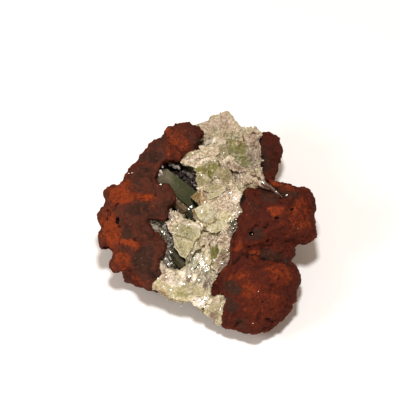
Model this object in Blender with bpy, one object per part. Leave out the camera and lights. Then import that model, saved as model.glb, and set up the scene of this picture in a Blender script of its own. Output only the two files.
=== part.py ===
"""An adamite specimen: a lump of rusty iron-oxide gossan, broken open along a vein of adamite crystals.

The stone is drawn on its display face, the broken side that leans back and looks up at the viewer.
On that face a runs to the right, b runs up the face and c stands out of it, all in millimetres.
The face is then tilted and lifted, so that the stone rests on the flat cut under it, at z = 0.
"""

import math
import random

import bmesh
import bpy
from mathutils import Matrix, Vector, noise
from mathutils.bvhtree import BVHTree

MM = 0.001
FACE_TILT = math.radians(35.0)
FACE_HEIGHT = 15.5
VIEWER = Vector((0.0, -math.sin(FACE_TILT), math.cos(FACE_TILT)))

# Room between neighbours, and how far cutters reach past the stone.
GAP = 0.3
FAR = 60.0
REACH = 50.0

# The stone's skin: its fineness, the lumps and grains all over it and the coarse breaks on its far sides.
SKIN_VOXEL = 0.7
SKIN_SMOOTHING = 4
LUMP_HEIGHT = 0.45
LUMP_SIZE = 4.2
GRAIN_HEIGHT = 0.2
GRAIN_SIZE = 1.9
BREAK_HEIGHT = 1.3
BREAK_SIZE = 7.5
FOOT_RELIEF_HEIGHT = 4.0
BLOCK_CORNERS = 22
GOLDEN_ANGLE = math.pi * (3.0 - math.sqrt(5.0))

# Triangles kept in each piece.
STONE_TRIANGLES = 3700
VEIN_TRIANGLES = 3800
POCKET_TRIANGLES = 520
SEAM_TRIANGLES = 420

# The vein's rows of blades: where they start and end on the face, their spacing and the blades' sizes.
ROW_TOP = 23.0
ROW_BOTTOM = -21.0
ROW_RIGHT = 11.5
ROW_MARGIN = 1.6
ROW_PITCH = 4.2
BLADE_LENGTH = (6.0, 8.0)
BLADE_WIDTH = (3.2, 4.8)
BLADE_DEPTH = (3.0, 4.2)
BLADE_RISE = (1.2, 2.8)
UPPER_LEAN = (-1.0, -0.5, 0.35)
LOWER_LEAN = (-0.4, -0.9, 0.4)
EDGE_LAYERS = 2
EDGE_LAYER_STEP = 1.9
EDGE_BLADE_LENGTH = 7.0
POCKET_CRYSTAL = 2.6
SEAM_CRYSTAL = 2.3

# Rounded masses of the gossan as centre a, b, c and half sizes along a, b, c.
LEFT_MASSES = (
    (-5.3, 18.6, -4.0, 4.8, 4.6, 6.0),
    (-2.6, 20.0, -4.5, 2.9, 2.2, 4.0),
    (-10.0, 14.0, -1.0, 5.0, 5.2, 7.0),
    (-14.2, 8.0, 1.5, 5.6, 6.2, 7.4),
    (-17.6, 0.8, 3.0, 6.5, 6.6, 7.0),
    (-15.8, -5.0, 4.2, 6.2, 6.1, 6.5),
    (-12.0, -8.2, 4.8, 5.4, 5.8, 6.0),
    (-10.5, 4.0, 2.6, 4.6, 6.0, 6.0),
)
LEFT_KNOBS = (
    (-4.7, 21.0, -4.5, 2.4, 2.4, 2.6),
    (-8.1, 19.6, -3.8, 2.3, 2.3, 2.6),
    (-11.2, 17.5, -2.5, 2.3, 2.3, 2.6),
    (-13.7, 14.8, -1.2, 2.2, 2.2, 2.6),
    (-16.4, 11.5, 0.3, 2.2, 2.2, 2.6),
    (-20.9, 6.4, 1.6, 2.2, 2.2, 2.6),
    (-22.3, 2.6, 2.4, 2.1, 2.1, 2.4),
    (-22.8, -3.9, 3.2, 2.3, 2.4, 2.4),
    (-19.7, -8.6, 4.6, 2.4, 2.3, 2.4),
    (-14.0, -12.1, 5.4, 2.1, 2.0, 2.2),
    (-12.2, -13.6, 5.6, 2.0, 1.9, 2.0),
)
RIGHT_MASSES = (
    (16.0, 1.6, 2.5, 7.8, 6.8, 7.6),
    (11.0, -0.4, 3.0, 6.5, 7.9, 6.8),
    (21.3, 4.0, 1.5, 3.4, 4.0, 5.0),
    (21.6, -1.6, 2.5, 3.6, 3.5, 4.6),
    (11.2, -15.3, 4.8, 9.1, 9.0, 8.4),
    (16.7, -12.2, 4.0, 4.5, 4.4, 6.0),
    (10.6, -20.7, 5.8, 4.7, 4.7, 5.2),
    (6.0, -19.2, 5.8, 4.4, 4.8, 4.8),
    (16.6, -6.8, 3.0, 3.4, 2.8, 4.5),
)
RIGHT_KNOBS = (
    (13.2, -22.2, 5.2, 1.9, 2.9, 3.0),
    (7.8, -5.0, 5.4, 3.0, 3.4, 4.0),
    (14.6, 8.4, 0.6, 2.2, 2.2, 3.0),
    (18.0, 6.8, 0.6, 2.5, 2.3, 3.0),
    (21.3, 6.5, 0.8, 2.2, 2.1, 3.0),
    (23.0, -2.3, 2.5, 2.2, 2.1, 2.6),
)
BACK_KNOB = (
    (14.7, 16.2, -15.0, 3.3, 5.0, 3.8),
    (12.8, 11.6, -14.5, 3.6, 3.6, 4.6),
)
# Broken blocks under the face, as centre x, y, z and half sizes, where z is the height over the table.
FOOT_BLOCKS = (
    (-10.5, -0.5, 8.4, 13.0, 13.0, 10.2),
    (7.0, -6.5, 8.4, 12.0, 13.5, 10.4),
    (10.0, 6.0, 8.4, 12.0, 11.0, 10.3),
    (3.0, 17.0, 7.6, 12.5, 11.5, 9.0),
    (-7.5, 12.5, 9.4, 11.5, 11.0, 11.0),
    (0.5, -3.5, 6.0, 13.0, 9.5, 8.2),
)

# The trough that the vein fills, as its outline on the face, from the top left down and round.
TROUGH_OUTLINE = (
    (-2.4, 23.0), (-1.2, 21.7), (-0.3, 20.6), (-1.7, 18.9), (-2.0, 17.0), (-3.6, 15.7),
    (-4.6, 14.9), (-6.0, 14.0), (-8.8, 14.1), (-10.2, 13.7), (-11.0, 11.0), (-11.7, 10.0),
    (-10.9, 8.9), (-9.6, 9.4), (-8.6, 9.2), (-7.1, 6.5), (-7.0, 5.2), (-8.4, 3.0),
    (-8.6, 1.6), (-9.4, 0.4), (-14.0, 1.0), (-12.0, -1.7), (-9.7, -3.7), (-9.0, -4.9),
    (-9.2, -6.2), (-10.8, -8.9), (-10.1, -11.7), (-12.6, -14.4), (-10.5, -16.3), (-7.0, -17.9),
    (-4.0, -17.9), (-1.5, -19.5), (0.0, -21.2), (1.4, -22.3), (3.0, -23.5), (3.6, -18.9),
    (4.6, -17.1), (3.8, -16.4), (1.0, -17.2), (0.5, -16.0), (1.2, -13.5), (3.2, -11.0),
    (4.8, -9.3), (5.3, -7.5), (5.0, -5.0), (5.4, -2.5), (6.8, -1.3), (6.6, 1.0), (7.9, 2.5),
    (8.2, 3.5), (7.5, 5.3), (7.6, 6.6), (9.0, 8.3), (13.4, 8.2), (15.4, 7.0), (16.9, 5.4),
    (17.2, 5.8), (15.3, 8.0), (12.9, 9.8), (12.1, 12.5), (12.0, 18.0), (12.3, 21.3),
    (11.4, 21.5), (8.5, 21.4), (6.3, 24.0), (4.3, 25.4), (1.5, 24.8), (0.0, 23.6), (-1.0, 23.2),
)
# How deep the trough is and how far the vein's core fills it, as b and c down the face.
TROUGH_FLOOR = (
    (28.0, -20.0), (18.0, -17.0), (14.8, -8.5), (0.0, -7.5), (-2.0, -3.5),
    (-10.0, -0.5), (-18.0, 2.0), (-26.0, 2.6),
)
CORE_TOP = (
    (28.0, -17.0), (17.0, -13.6), (14.0, -5.0), (9.0, 0.2), (0.0, 3.2),
    (-10.0, 4.4), (-18.0, 4.4), (-26.0, 3.4),
)
# The vein's broken back, upright on the table, under its edge on the face at this c.
BACK_CUT = (
    (-30.0, -90.0), (30.0, -90.0), (30.0, 21.2), (12.6, 21.2), (10.8, 22.1), (8.6, 21.3), (6.4, 24.2),
    (4.4, 25.3), (2.6, 24.3), (0.8, 24.9), (-1.0, 22.9), (-2.4, 23.2), (-6.0, 22.0), (-30.0, 22.0),
)
BACK_CUT_C = -13.8
POCKET_OUTLINE = (
    (-11.0, 14.8), (-5.9, 14.3), (-3.6, 12.6), (-2.4, 10.2), (-2.4, 8.2), (-0.8, 6.5),
    (-0.8, 4.5), (-1.6, 2.6), (-2.6, 0.3), (-4.6, 0.7), (-5.7, 1.7), (-8.2, 3.0),
    (-9.5, 4.0), (-9.5, 8.0), (-12.5, 8.4), (-12.5, 11.0),
)
SEAM_OUTLINE = (
    (-15.0, 1.4), (-12.5, 0.9), (-9.5, -0.3), (-9.0, -1.0), (-8.2, -2.0), (-7.7, -3.5),
    (-7.6, -4.8), (-7.0, -6.3), (-6.2, -7.5), (-5.1, -7.9), (-5.0, -9.6), (-6.0, -10.3),
    (-7.5, -10.5), (-9.0, -9.9), (-9.7, -8.6), (-10.6, -8.3), (-11.5, -6.0), (-13.5, -2.0),
)

# The free edges of the vein, where blades reach out past the rock, as a, b and the top of the edge.
BACK_EDGE = (
    (-2.3, 22.9, -11.0), (0.2, 23.8, -11.8), (2.6, 25.1, -12.4), (5.2, 25.2, -12.8),
    (7.2, 23.0, -13.4), (9.2, 21.3, -13.4), (11.4, 21.3, -13.6),
)
FRONT_EDGE = (
    (-12.4, -14.4, 6.0), (-10.2, -16.3, 6.0), (-7.2, -17.8, 6.1), (-4.4, -18.0, 6.4),
    (-2.0, -19.1, 6.2), (-0.3, -20.8, 5.8), (2.3, -22.9, 5.0),
)

# Blades of the vein that the eye picks out: tip a, b, c, the way it points, length, width, depth, roll.
HERO_BLADES = (
    (-3.8, 6.1, 1.8, (-1.0, -0.12, -0.12), 8.0, 3.7, 3.6, 38.0),
    (-3.3, 2.7, 2.6, (-1.0, -0.42, 0.1), 12.0, 5.2, 5.4, 20.0),
    (-1.0, 7.9, 3.4, (-0.9, -0.35, 0.25), 7.0, 3.0, 3.0, 8.0),
    (-2.7, 9.7, 1.6, (-0.9, -0.5, -0.1), 8.0, 3.4, 3.4, 55.0),
    (1.2, 10.6, 4.2, (-0.7, -0.6, 0.4), 6.5, 3.0, 2.8, 20.0),
    (-5.9, 13.8, 0.4, (-0.95, -0.35, 0.0), 8.5, 3.0, 3.2, 30.0),
    (-2.0, 12.6, 1.2, (-0.9, -0.4, 0.2), 6.0, 2.6, 2.8, 70.0),
    (-8.4, 3.0, 5.4, (-0.62, 0.75, 0.05), 7.0, 3.2, 3.4, 15.0),
    (-9.3, -0.1, 5.6, (-0.95, 0.3, 0.0), 6.5, 3.2, 3.4, 45.0),
    (-4.9, -8.1, 6.9, (-0.15, -1.0, 0.15), 8.0, 4.2, 3.0, 10.0),
    (-6.3, -5.6, 6.6, (-0.6, -0.8, 0.1), 7.5, 4.0, 3.2, 32.0),
    (-10.6, -8.7, 6.3, (-0.45, 0.9, 0.0), 7.0, 3.0, 3.2, 12.0),
    (0.3, -16.6, 7.6, (0.5, -0.85, 0.1), 6.0, 3.6, 3.0, 24.0),
    (16.9, 5.8, 6.0, (1.0, -0.75, 0.12), 7.0, 3.4, 3.2, 20.0),
    (14.8, 8.6, 5.2, (0.9, -0.3, 0.5), 6.5, 3.2, 3.4, 35.0),
    (11.4, 9.4, 5.6, (-0.5, -0.5, 0.8), 7.0, 4.0, 3.6, 15.0),
)
PRISM_START = (-10.6, 11.9, 3.0)
PRISM_END = (-1.4, 4.4, -3.4)
PRISM_RADIUS = 1.85
PRISM_BEVEL = 1.1

# Pits and cracks in the gossan: place a, b on the face, half sizes along a, b and into the stone, turn.
PITS = (
    (-20.6, 4.4, 0.55, 0.5, 1.0, 0.0),
    (-22.8, 2.2, 0.55, 1.3, 1.0, 28.0),
    (-20.3, 0.5, 0.5, 1.2, 0.9, -8.0),
    (-23.3, -5.7, 1.1, 0.7, 1.2, 35.0),
    (11.4, -0.9, 1.9, 0.45, 1.2, 12.0),
    (10.2, -2.4, 0.6, 0.7, 1.3, 0.0),
    (13.8, -4.1, 0.55, 0.5, 1.2, 0.0),
    (15.8, 1.2, 0.6, 0.5, 0.9, 0.0),
    (19.4, 3.3, 0.6, 0.45, 0.9, 40.0),
    (7.3, -22.8, 1.5, 0.6, 1.4, 38.0),
    (17.5, -7.1, 2.6, 0.6, 1.2, 8.0),
)

# Cross-sections of the crystals, as shares of their width and depth.
FOUR_SIDES = ((0.5, -0.3), (0.32, 0.5), (-0.5, 0.3), (-0.32, -0.5))
SIX_SIDES = ((0.5, 0.12), (0.18, 0.5), (-0.3, 0.46), (-0.5, -0.1), (-0.16, -0.5), (0.34, -0.44))


def face_to_world():
    """The matrix from the display face, in millimetres, to the table, in metres."""
    lift = Matrix.Translation((0.0, 0.0, FACE_HEIGHT))
    return Matrix.Scale(MM, 4) @ lift @ Matrix.Rotation(FACE_TILT, 4, "X")


def world_to_face():
    return face_to_world().inverted()


def clear_scene():
    for obj in list(bpy.data.objects):
        bpy.data.objects.remove(obj)


def dress(obj, name, colour, roughness, transmission=0.0):
    """Gives the whole object one finish."""
    made = bpy.data.materials.new(name)
    made.use_nodes = True
    shader = made.node_tree.nodes["Principled BSDF"]
    shader.inputs["Base Color"].default_value = (*colour, 1.0)
    shader.inputs["Roughness"].default_value = roughness
    shader.inputs["Metallic"].default_value = 0.0
    shader.inputs["Transmission Weight"].default_value = transmission
    made.diffuse_color = (*colour, 1.0)
    obj.data.materials.clear()
    obj.data.materials.append(made)
    for polygon in obj.data.polygons:
        polygon.material_index = 0


def add_object(name, bm):
    """A new object at the origin that holds this mesh."""
    mesh = bpy.data.meshes.new(name)
    bm.to_mesh(mesh)
    bm.free()
    obj = bpy.data.objects.new(name, mesh)
    bpy.context.scene.collection.objects.link(obj)
    return obj


def apply_modifiers(obj):
    """Turns the object's modifiers into its mesh."""
    graph = bpy.context.evaluated_depsgraph_get()
    mesh = bpy.data.meshes.new_from_object(obj.evaluated_get(graph))
    obj.modifiers.clear()
    obj.data = mesh


def boolean(obj, other, operation, solver="EXACT"):
    """Joins, cuts or keeps what obj shares with the other object, which is then removed."""
    modifier = obj.modifiers.new(operation.lower(), "BOOLEAN")
    modifier.operation = operation
    modifier.object = other
    modifier.solver = solver
    apply_modifiers(obj)
    bpy.data.objects.remove(other)


def boolean_all(obj, others, operation):
    """The same with many objects at once."""
    group = bpy.data.collections.new(operation.lower())
    bpy.context.scene.collection.children.link(group)
    for other in others:
        bpy.context.scene.collection.objects.unlink(other)
        group.objects.link(other)
    modifier = obj.modifiers.new(operation.lower(), "BOOLEAN")
    modifier.operation = operation
    modifier.operand_type = "COLLECTION"
    modifier.collection = group
    modifier.solver = "EXACT"
    apply_modifiers(obj)
    for other in others:
        bpy.data.objects.remove(other)
    bpy.data.collections.remove(group)


def grown(outline, amount):
    """The outline with each point moved out by this amount, along the mean of its two edges' normals."""
    moved = []
    turn = sum(
        a0 * b1 - a1 * b0
        for (a0, b0), (a1, b1) in zip(outline, outline[1:] + outline[:1])
    )
    side = 1.0 if turn > 0 else -1.0
    for i, point in enumerate(outline):
        here = Vector(point)
        before = here - Vector(outline[i - 1])
        after = Vector(outline[(i + 1) % len(outline)]) - here
        normal = Vector((before.y, -before.x)).normalized() + Vector((after.y, -after.x)).normalized()
        if normal.length < 0.4:
            normal = Vector((before.y, -before.x)).normalized()
        moved.append(here + normal.normalized() * side * amount)
    return moved


def prism(name, outline, low, high, along="c"):
    """A closed prism over an outline. Along c the outline is on the face; along a it is a profile of b and c.

    Upright, its sides are square to the table, under an outline on the face at BACK_CUT_C.
    """
    bm = bmesh.new()
    rings = []
    for level in (low, high):
        rise = math.tan(FACE_TILT) * (level - BACK_CUT_C) if along == "upright" else 0.0
        ring = [(level, p, q) if along == "a" else (p, q + rise, level) for p, q in outline]
        rings.append([bm.verts.new(face_to_world() @ Vector(corner)) for corner in ring])
    bottom, top = rings
    bm.faces.new(bottom)
    bm.faces.new(top)
    for i, start in enumerate(bottom):
        j = (i + 1) % len(bottom)
        bm.faces.new((start, bottom[j], top[j], top[i]))
    bmesh.ops.triangulate(bm, faces=bm.faces[:])
    bmesh.ops.recalc_face_normals(bm, faces=bm.faces[:])
    return add_object(name, bm)


def blade(spec, section):
    """A flat-sided crystal: a prism over its cross-section, a wedge at its tip and a flat root.

    The spec is its tip on the face, the way that it points, its length, width, depth and roll.
    """
    tip, points, length, width, depth, roll = spec
    shoulder = min(0.45 * width, 0.4 * length)
    bm = bmesh.new()
    corners = [(x * width, y * depth, z) for z in (-length, -shoulder) for x, y in section]
    corners += [(0.15 * width, 0.05 * depth, 0.0), (-0.15 * width, -0.05 * depth, 0.0)]
    bmesh.ops.convex_hull(bm, input=[bm.verts.new(corner) for corner in corners])
    toward = Vector(points).normalized()
    frame = toward.to_track_quat("Z", "Y").to_matrix().to_4x4()
    place = Matrix.Translation(tip) @ frame @ Matrix.Rotation(math.radians(roll), 4, "Z")
    bmesh.ops.transform(bm, matrix=face_to_world() @ place, verts=bm.verts[:])
    bmesh.ops.triangulate(bm, faces=bm.faces[:])
    bmesh.ops.recalc_face_normals(bm, faces=bm.faces[:])
    return add_object("crystal", bm)


def vein_blades():
    """All the blades of the vein."""
    heroes = [((a, b, c), *rest) for a, b, c, *rest in HERO_BLADES]
    others = row_blades() + edge_blades(BACK_EDGE, (0.1, 1.0, -0.1), 11)
    others += edge_blades(FRONT_EDGE, (-0.5, -1.0, 0.0), 12)
    return [blade(spec, SIX_SIDES) for spec in heroes] + [blade(spec, FOUR_SIDES) for spec in others]


def span_at(outline, b):
    """The outline's left and right ends at this height on the face."""
    crossings = []
    for (a0, b0), (a1, b1) in zip(outline, outline[1:] + outline[:1]):
        if (b0 > b) != (b1 > b):
            crossings.append(a0 + (a1 - a0) * (b - b0) / (b1 - b0))
    return min(crossings), max(crossings)


def inside(outline, a, b):
    """Whether a point of the face lies within the outline."""
    found = False
    for (a0, b0), (a1, b1) in zip(outline, outline[1:] + outline[:1]):
        if (b0 > b) != (b1 > b) and a < a0 + (a1 - a0) * (b - b0) / (b1 - b0):
            found = not found
    return found


def profile_at(profile, b):
    """The profile's c at this b."""
    for (b0, c0), (b1, c1) in zip(profile, profile[1:]):
        if b1 <= b <= b0:
            return c0 + (c1 - c0) * (b0 - b) / (b0 - b1)
    return profile[0][1] if b > profile[0][0] else profile[-1][1]


def ball_points(count, dice):
    """Points spread over a unit ball along a spiral, each moved a little at random."""
    points = []
    for i in range(count):
        up = 1.0 - 2.0 * (i + 0.5) / count
        turn = i * GOLDEN_ANGLE
        ring = math.sqrt(1.0 - up * up)
        point = Vector((ring * math.cos(turn), ring * math.sin(turn), up))
        point += Vector((dice.uniform(-0.2, 0.2), dice.uniform(-0.2, 0.2), dice.uniform(-0.2, 0.2)))
        points.append(point.normalized())
    return points


def relief(place, normal):
    """How far the skin stands out at a place, in millimetres. Its coarse breaks face away from the viewer."""
    away = min(1.0, max(0.0, 0.45 - 0.9 * normal.dot(VIEWER)))
    away *= min(1.0, max(0.0, place.z / FOOT_RELIEF_HEIGHT))
    lumps = noise.fractal(place / LUMP_SIZE, 0.7, 2.0, 2) * LUMP_HEIGHT
    grains = (0.5 - noise.voronoi(place / GRAIN_SIZE)[0][0]) * 2 * GRAIN_HEIGHT
    near, far = noise.voronoi(place / BREAK_SIZE)[0][:2]
    breaks = (min(0.35, far - near) - 0.25) * 2 * BREAK_HEIGHT
    breaks += noise.noise(place / BREAK_SIZE) * BREAK_HEIGHT
    return lumps + grains + away * breaks


def lumps_skin(name):
    """One closed skin round all the gossan's masses, with its knobby relief."""
    bm = bmesh.new()
    for a, b, c, ra, rb, rc in LEFT_MASSES + LEFT_KNOBS + RIGHT_MASSES + RIGHT_KNOBS + BACK_KNOB:
        place = face_to_world() @ Matrix.Translation((a, b, c)) @ Matrix.Diagonal((ra, rb, rc, 1.0))
        bmesh.ops.create_icosphere(bm, subdivisions=4, radius=1.0, matrix=place)
    dice = random.Random(3)
    for x, y, z, rx, ry, rz in FOOT_BLOCKS:
        place = Matrix.Scale(MM, 4) @ Matrix.Translation((x, y, z)) @ Matrix.Diagonal((rx, ry, rz, 1.0))
        corners = [bm.verts.new(place @ corner) for corner in ball_points(BLOCK_CORNERS, dice)]
        bmesh.ops.convex_hull(bm, input=corners)
    skin = add_object(name, bm)
    remesh = skin.modifiers.new("one skin", "REMESH")
    remesh.mode = "VOXEL"
    remesh.voxel_size = SKIN_VOXEL * MM
    smooth = skin.modifiers.new("soft creases", "SMOOTH")
    smooth.factor = 0.5
    smooth.iterations = SKIN_SMOOTHING
    apply_modifiers(skin)
    bm = bmesh.new()
    bm.from_mesh(skin.data)
    moves = [(vertex, vertex.normal * relief(vertex.co / MM, vertex.normal) * MM) for vertex in bm.verts]
    for vertex, move in moves:
        vertex.co += move
    bm.to_mesh(skin.data)
    bm.free()
    return skin


def keep_largest(obj):
    """Removes the splinters that the cuts left loose."""
    bm = bmesh.new()
    bm.from_mesh(obj.data)
    pieces = []
    unseen = set(bm.verts)
    while unseen:
        piece = [unseen.pop()]
        for vertex in piece:
            for edge in vertex.link_edges:
                other = edge.other_vert(vertex)
                if other in unseen:
                    unseen.remove(other)
                    piece.append(other)
        pieces.append(piece)
    pieces.sort(key=len)
    for piece in pieces[:-1]:
        bmesh.ops.delete(bm, geom=piece, context="VERTS")
    bm.to_mesh(obj.data)
    bm.free()


def decimate(obj, triangles):
    """Collapses the least telling edges until about this many triangles are left."""
    obj.data.calc_loop_triangles()
    modifier = obj.modifiers.new("fewer faces", "DECIMATE")
    modifier.ratio = triangles / len(obj.data.loop_triangles)
    modifier.use_collapse_triangulate = True
    apply_modifiers(obj)


def flat_foot():
    """A cutter for all that lies under the table."""
    bm = bmesh.new()
    size = Matrix.Diagonal((2 * FAR * MM, 2 * FAR * MM, FAR * MM, 1.0))
    place = Matrix.Translation((0.0, 0.0, -0.5 * FAR * MM)) @ size
    bmesh.ops.create_cube(bm, size=1.0, matrix=place)
    return add_object("under the table", bm)


def trough_cutter(grow):
    """The space of the trough, open upwards."""
    floor = [(b, c - grow) for b, c in TROUGH_FLOOR]
    above = [(-FAR, floor[-1][1]), (-FAR, FAR), (FAR, FAR), (FAR, floor[0][1])]
    cutter = prism("trough", floor + above, -FAR, FAR, "a")
    boolean(cutter, prism("outline", grown(TROUGH_OUTLINE, grow), -REACH, REACH), "INTERSECT")
    return cutter


def pocket_prism(name, grow=0.0):
    """The long crystal that lies across the pocket: six sides and a blunt point at each end."""
    start, end = Vector(PRISM_START), Vector(PRISM_END)
    axis = (end - start).normalized()
    half = 0.5 * (end - start).length + grow
    radius = PRISM_RADIUS + grow
    bm = bmesh.new()
    corners = []
    for end_z, scale in ((-half, 0.55), (PRISM_BEVEL - half, 1.0), (half - PRISM_BEVEL, 1.0), (half, 0.55)):
        for side in range(6):
            turn = math.radians(60.0 * side + 12.0)
            flat = 0.8 if side % 3 else 1.0
            across = radius * scale
            corners.append(bm.verts.new((math.cos(turn) * across, math.sin(turn) * across * flat, end_z)))
    bmesh.ops.convex_hull(bm, input=corners)
    place = Matrix.Translation((start + end) / 2) @ axis.to_track_quat("Z", "Y").to_matrix().to_4x4()
    bmesh.ops.transform(bm, matrix=face_to_world() @ place, verts=bm.verts[:])
    bmesh.ops.recalc_face_normals(bm, faces=bm.faces[:])
    return add_object(name, bm)


def surface_finder(obj):
    """A function that gives the face's c where the object is first met from in front, at a and b."""
    bm = bmesh.new()
    bm.from_mesh(obj.data)
    bmesh.ops.transform(bm, matrix=world_to_face(), verts=bm.verts[:])
    tree = BVHTree.FromBMesh(bm)
    bm.free()

    def find(a, b):
        hit = tree.ray_cast(Vector((a, b, FAR)), Vector((0.0, 0.0, -1.0)))[0]
        return None if hit is None else hit.z

    return find


def pit(centre, halves, turn):
    """A cutter for one pit or crack: a stretched ball, turned on the face."""
    bm = bmesh.new()
    turned = Matrix.Rotation(math.radians(turn), 4, "Z") @ Matrix.Diagonal((*halves, 1.0))
    place = face_to_world() @ Matrix.Translation(centre) @ turned
    bmesh.ops.create_icosphere(bm, subdivisions=1, radius=1.0, matrix=place)
    return add_object("pit", bm)


def gossan():
    """The iron-oxide stone, with its trough, pits and the flat cut that it rests on."""
    stone = lumps_skin("gossan_matrix")
    decimate(stone, STONE_TRIANGLES)
    boolean(stone, flat_foot(), "DIFFERENCE")
    find = surface_finder(stone)
    pits = [pit((a, b, find(a, b)), halves, turn) for a, b, *halves, turn in PITS]
    boolean_all(stone, pits, "DIFFERENCE")
    boolean(stone, trough_cutter(GAP), "DIFFERENCE")
    boolean(stone, pocket_prism("prism room", GAP), "DIFFERENCE")
    return stone


def shaken(dice, lean, along_a, along_b, low_c, high_c):
    """The direction with a little added at random."""
    jitter = (dice.uniform(-along_a, along_a), dice.uniform(-along_b, along_b), dice.uniform(low_c, high_c))
    return Vector(lean) + Vector(jitter)


def row_blades():
    """The many smaller blades of the vein, in rows down the face, all leaning towards the pocket."""
    dice = random.Random(7)
    made = []
    b = ROW_TOP
    while b > ROW_BOTTOM:
        left, right = span_at(TROUGH_OUTLINE, b)
        a = left + ROW_MARGIN
        while a < min(right, ROW_RIGHT):
            width = dice.uniform(*BLADE_WIDTH)
            depth = dice.uniform(*BLADE_DEPTH)
            tip = (a, b, profile_at(CORE_TOP, b) + dice.uniform(*BLADE_RISE))
            lean = shaken(dice, UPPER_LEAN if b > 0 else LOWER_LEAN, 0.4, 0.5, -0.1, 0.5)
            roll = dice.uniform(0.0, 90.0)
            length = dice.uniform(*BLADE_LENGTH)
            if not inside(POCKET_OUTLINE, a, b) and not inside(SEAM_OUTLINE, a, b):
                made.append((tip, lean, length, width, depth, roll))
            a += 0.9 * width
        b -= ROW_PITCH
    return made


def edge_blades(edge, way, seed):
    """Blades that end along a free edge of the vein, in layers one over the other."""
    dice = random.Random(seed)
    made = []
    for a, b, top in edge:
        for layer in range(EDGE_LAYERS):
            lean = shaken(dice, way, 0.3, 0.2, -0.15, 0.1)
            inset = 0.4 * layer * dice.uniform(0.4, 1.6)
            tip = Vector((a, b, top - EDGE_LAYER_STEP * layer)) - lean.normalized() * inset
            width = dice.uniform(2.8, 3.8)
            depth = dice.uniform(2.2, 2.8)
            made.append((tip, lean, EDGE_BLADE_LENGTH, width, depth, dice.uniform(-12.0, 12.0)))
    return made


def druse(name, outline, top_at, size, seed):
    """A crust of small blunt crystals of this size on a slab; top_at gives its height at a and b."""
    dice = random.Random(seed)
    slab = prism(name, grown(outline, 1.0), -FAR, min(top_at(a, b) for a, b in outline))
    crystals = []
    b = min(p[1] for p in outline)
    while b < max(p[1] for p in outline):
        a = min(p[0] for p in outline)
        while a < max(p[0] for p in outline):
            spot = (a + dice.uniform(-0.3, 0.3) * size, b + dice.uniform(-0.3, 0.3) * size)
            across = size * dice.uniform(0.8, 1.2)
            if inside(outline, *spot):
                tip = (*spot, top_at(*spot) + size * dice.uniform(0.0, 0.7))
                lean = (dice.uniform(-0.5, 0.5), dice.uniform(-0.5, 0.5), 1.0)
                spec = (tip, lean, 2.0 * across, across, 0.9 * across, dice.uniform(0.0, 90.0))
                crystals.append(blade(spec, FOUR_SIDES))
            a += size
        b += size
    boolean_all(slab, crystals, "UNION")
    boolean(slab, prism("outline", outline, -REACH, REACH), "INTERSECT", "MANIFOLD")
    boolean(slab, trough_cutter(0.0), "INTERSECT", "MANIFOLD")
    return slab


def pocket_floor(a, b):
    """The height of the pocket's crust, which climbs towards the rock on its left."""
    return -4.6 + 0.42 * max(0.0, -4.5 - a)


def seam_top(a, b):
    """The height of the seam's crust, which climbs towards the rock on its left."""
    return 3.4 + 0.3 * max(0.0, -8.0 - a)


def pocket_crust():
    """The small dark crystals that line the hollow, in one crust."""
    crust = druse("pocket_crust", grown(POCKET_OUTLINE, -GAP), pocket_floor, POCKET_CRYSTAL, 5)
    boolean(crust, pocket_prism("prism room", GAP), "DIFFERENCE", "MANIFOLD")
    keep_largest(crust)
    decimate(crust, POCKET_TRIANGLES)
    return crust


def seam_crust():
    """The sparkling crust along the seam between the left lump and the vein."""
    crust = druse("seam_crust", SEAM_OUTLINE, seam_top, SEAM_CRYSTAL, 9)
    decimate(crust, SEAM_TRIANGLES)
    return crust


def vein():
    """The adamite that fills the trough: a core with blades grown out of it, in one solid."""
    profile = list(TROUGH_FLOOR) + list(reversed(CORE_TOP))
    core = prism("adamite_vein", profile, -FAR, FAR, "a")
    boolean(core, prism("pocket", POCKET_OUTLINE, -REACH, REACH), "DIFFERENCE")
    boolean_all(core, vein_blades(), "UNION")
    keep_largest(core)
    boolean(core, trough_cutter(0.0), "INTERSECT")
    boolean(core, prism("back", BACK_CUT, -REACH, REACH, "upright"), "INTERSECT", "MANIFOLD")
    boolean(core, prism("seam", grown(SEAM_OUTLINE, GAP), -REACH, REACH), "DIFFERENCE", "MANIFOLD")
    boolean(core, pocket_prism("prism room", GAP), "DIFFERENCE", "MANIFOLD")
    keep_largest(core)
    decimate(core, VEIN_TRIANGLES)
    return core


def centre_on_table(pieces):
    """Moves all the pieces together, so that the middle of the box's foot is the origin."""
    corners = [v.co for piece in pieces for v in piece.data.vertices]
    low = Vector(min(v[axis] for v in corners) for axis in range(3))
    high = Vector(max(v[axis] for v in corners) for axis in range(3))
    shift = Matrix.Translation((-(low.x + high.x) / 2, -(low.y + high.y) / 2, -low.z))
    for piece in pieces:
        piece.data.transform(shift)
        piece.data.update()


def main():
    clear_scene()
    stone = gossan()
    crystals = vein()
    long_prism = pocket_prism("pocket_prism")
    hollow = pocket_crust()
    seam = seam_crust()
    dress(stone, "rusty gossan", (0.18, 0.045, 0.022), 0.85)
    dress(crystals, "pale adamite", (0.62, 0.58, 0.42), 0.3, 0.2)
    dress(long_prism, "dark green adamite", (0.16, 0.2, 0.11), 0.2, 0.4)
    dress(hollow, "dark pocket crystals", (0.07, 0.05, 0.025), 0.25)
    dress(seam, "dark seam druse", (0.05, 0.04, 0.025), 0.25)
    centre_on_table([stone, crystals, long_prism, hollow, seam])


if __name__ == "__main__":
    main()
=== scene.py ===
"""Looks of the adamite specimen: rusty gossan, broken open along a vein of pale crystals.

The display face leans back and looks up at the viewer. On it a runs to the right, b runs up the face
and c stands out of it, in millimetres. Meshes are in metres.
"""

import logging
import math
from dataclasses import dataclass, field
from enum import Enum
from typing import Dict, List, Optional, Sequence, Tuple

import bmesh
import bpy
import numpy as np
from mathutils import Matrix, Vector, noise
from mathutils.bvhtree import BVHTree
from mathutils.kdtree import KDTree

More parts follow.
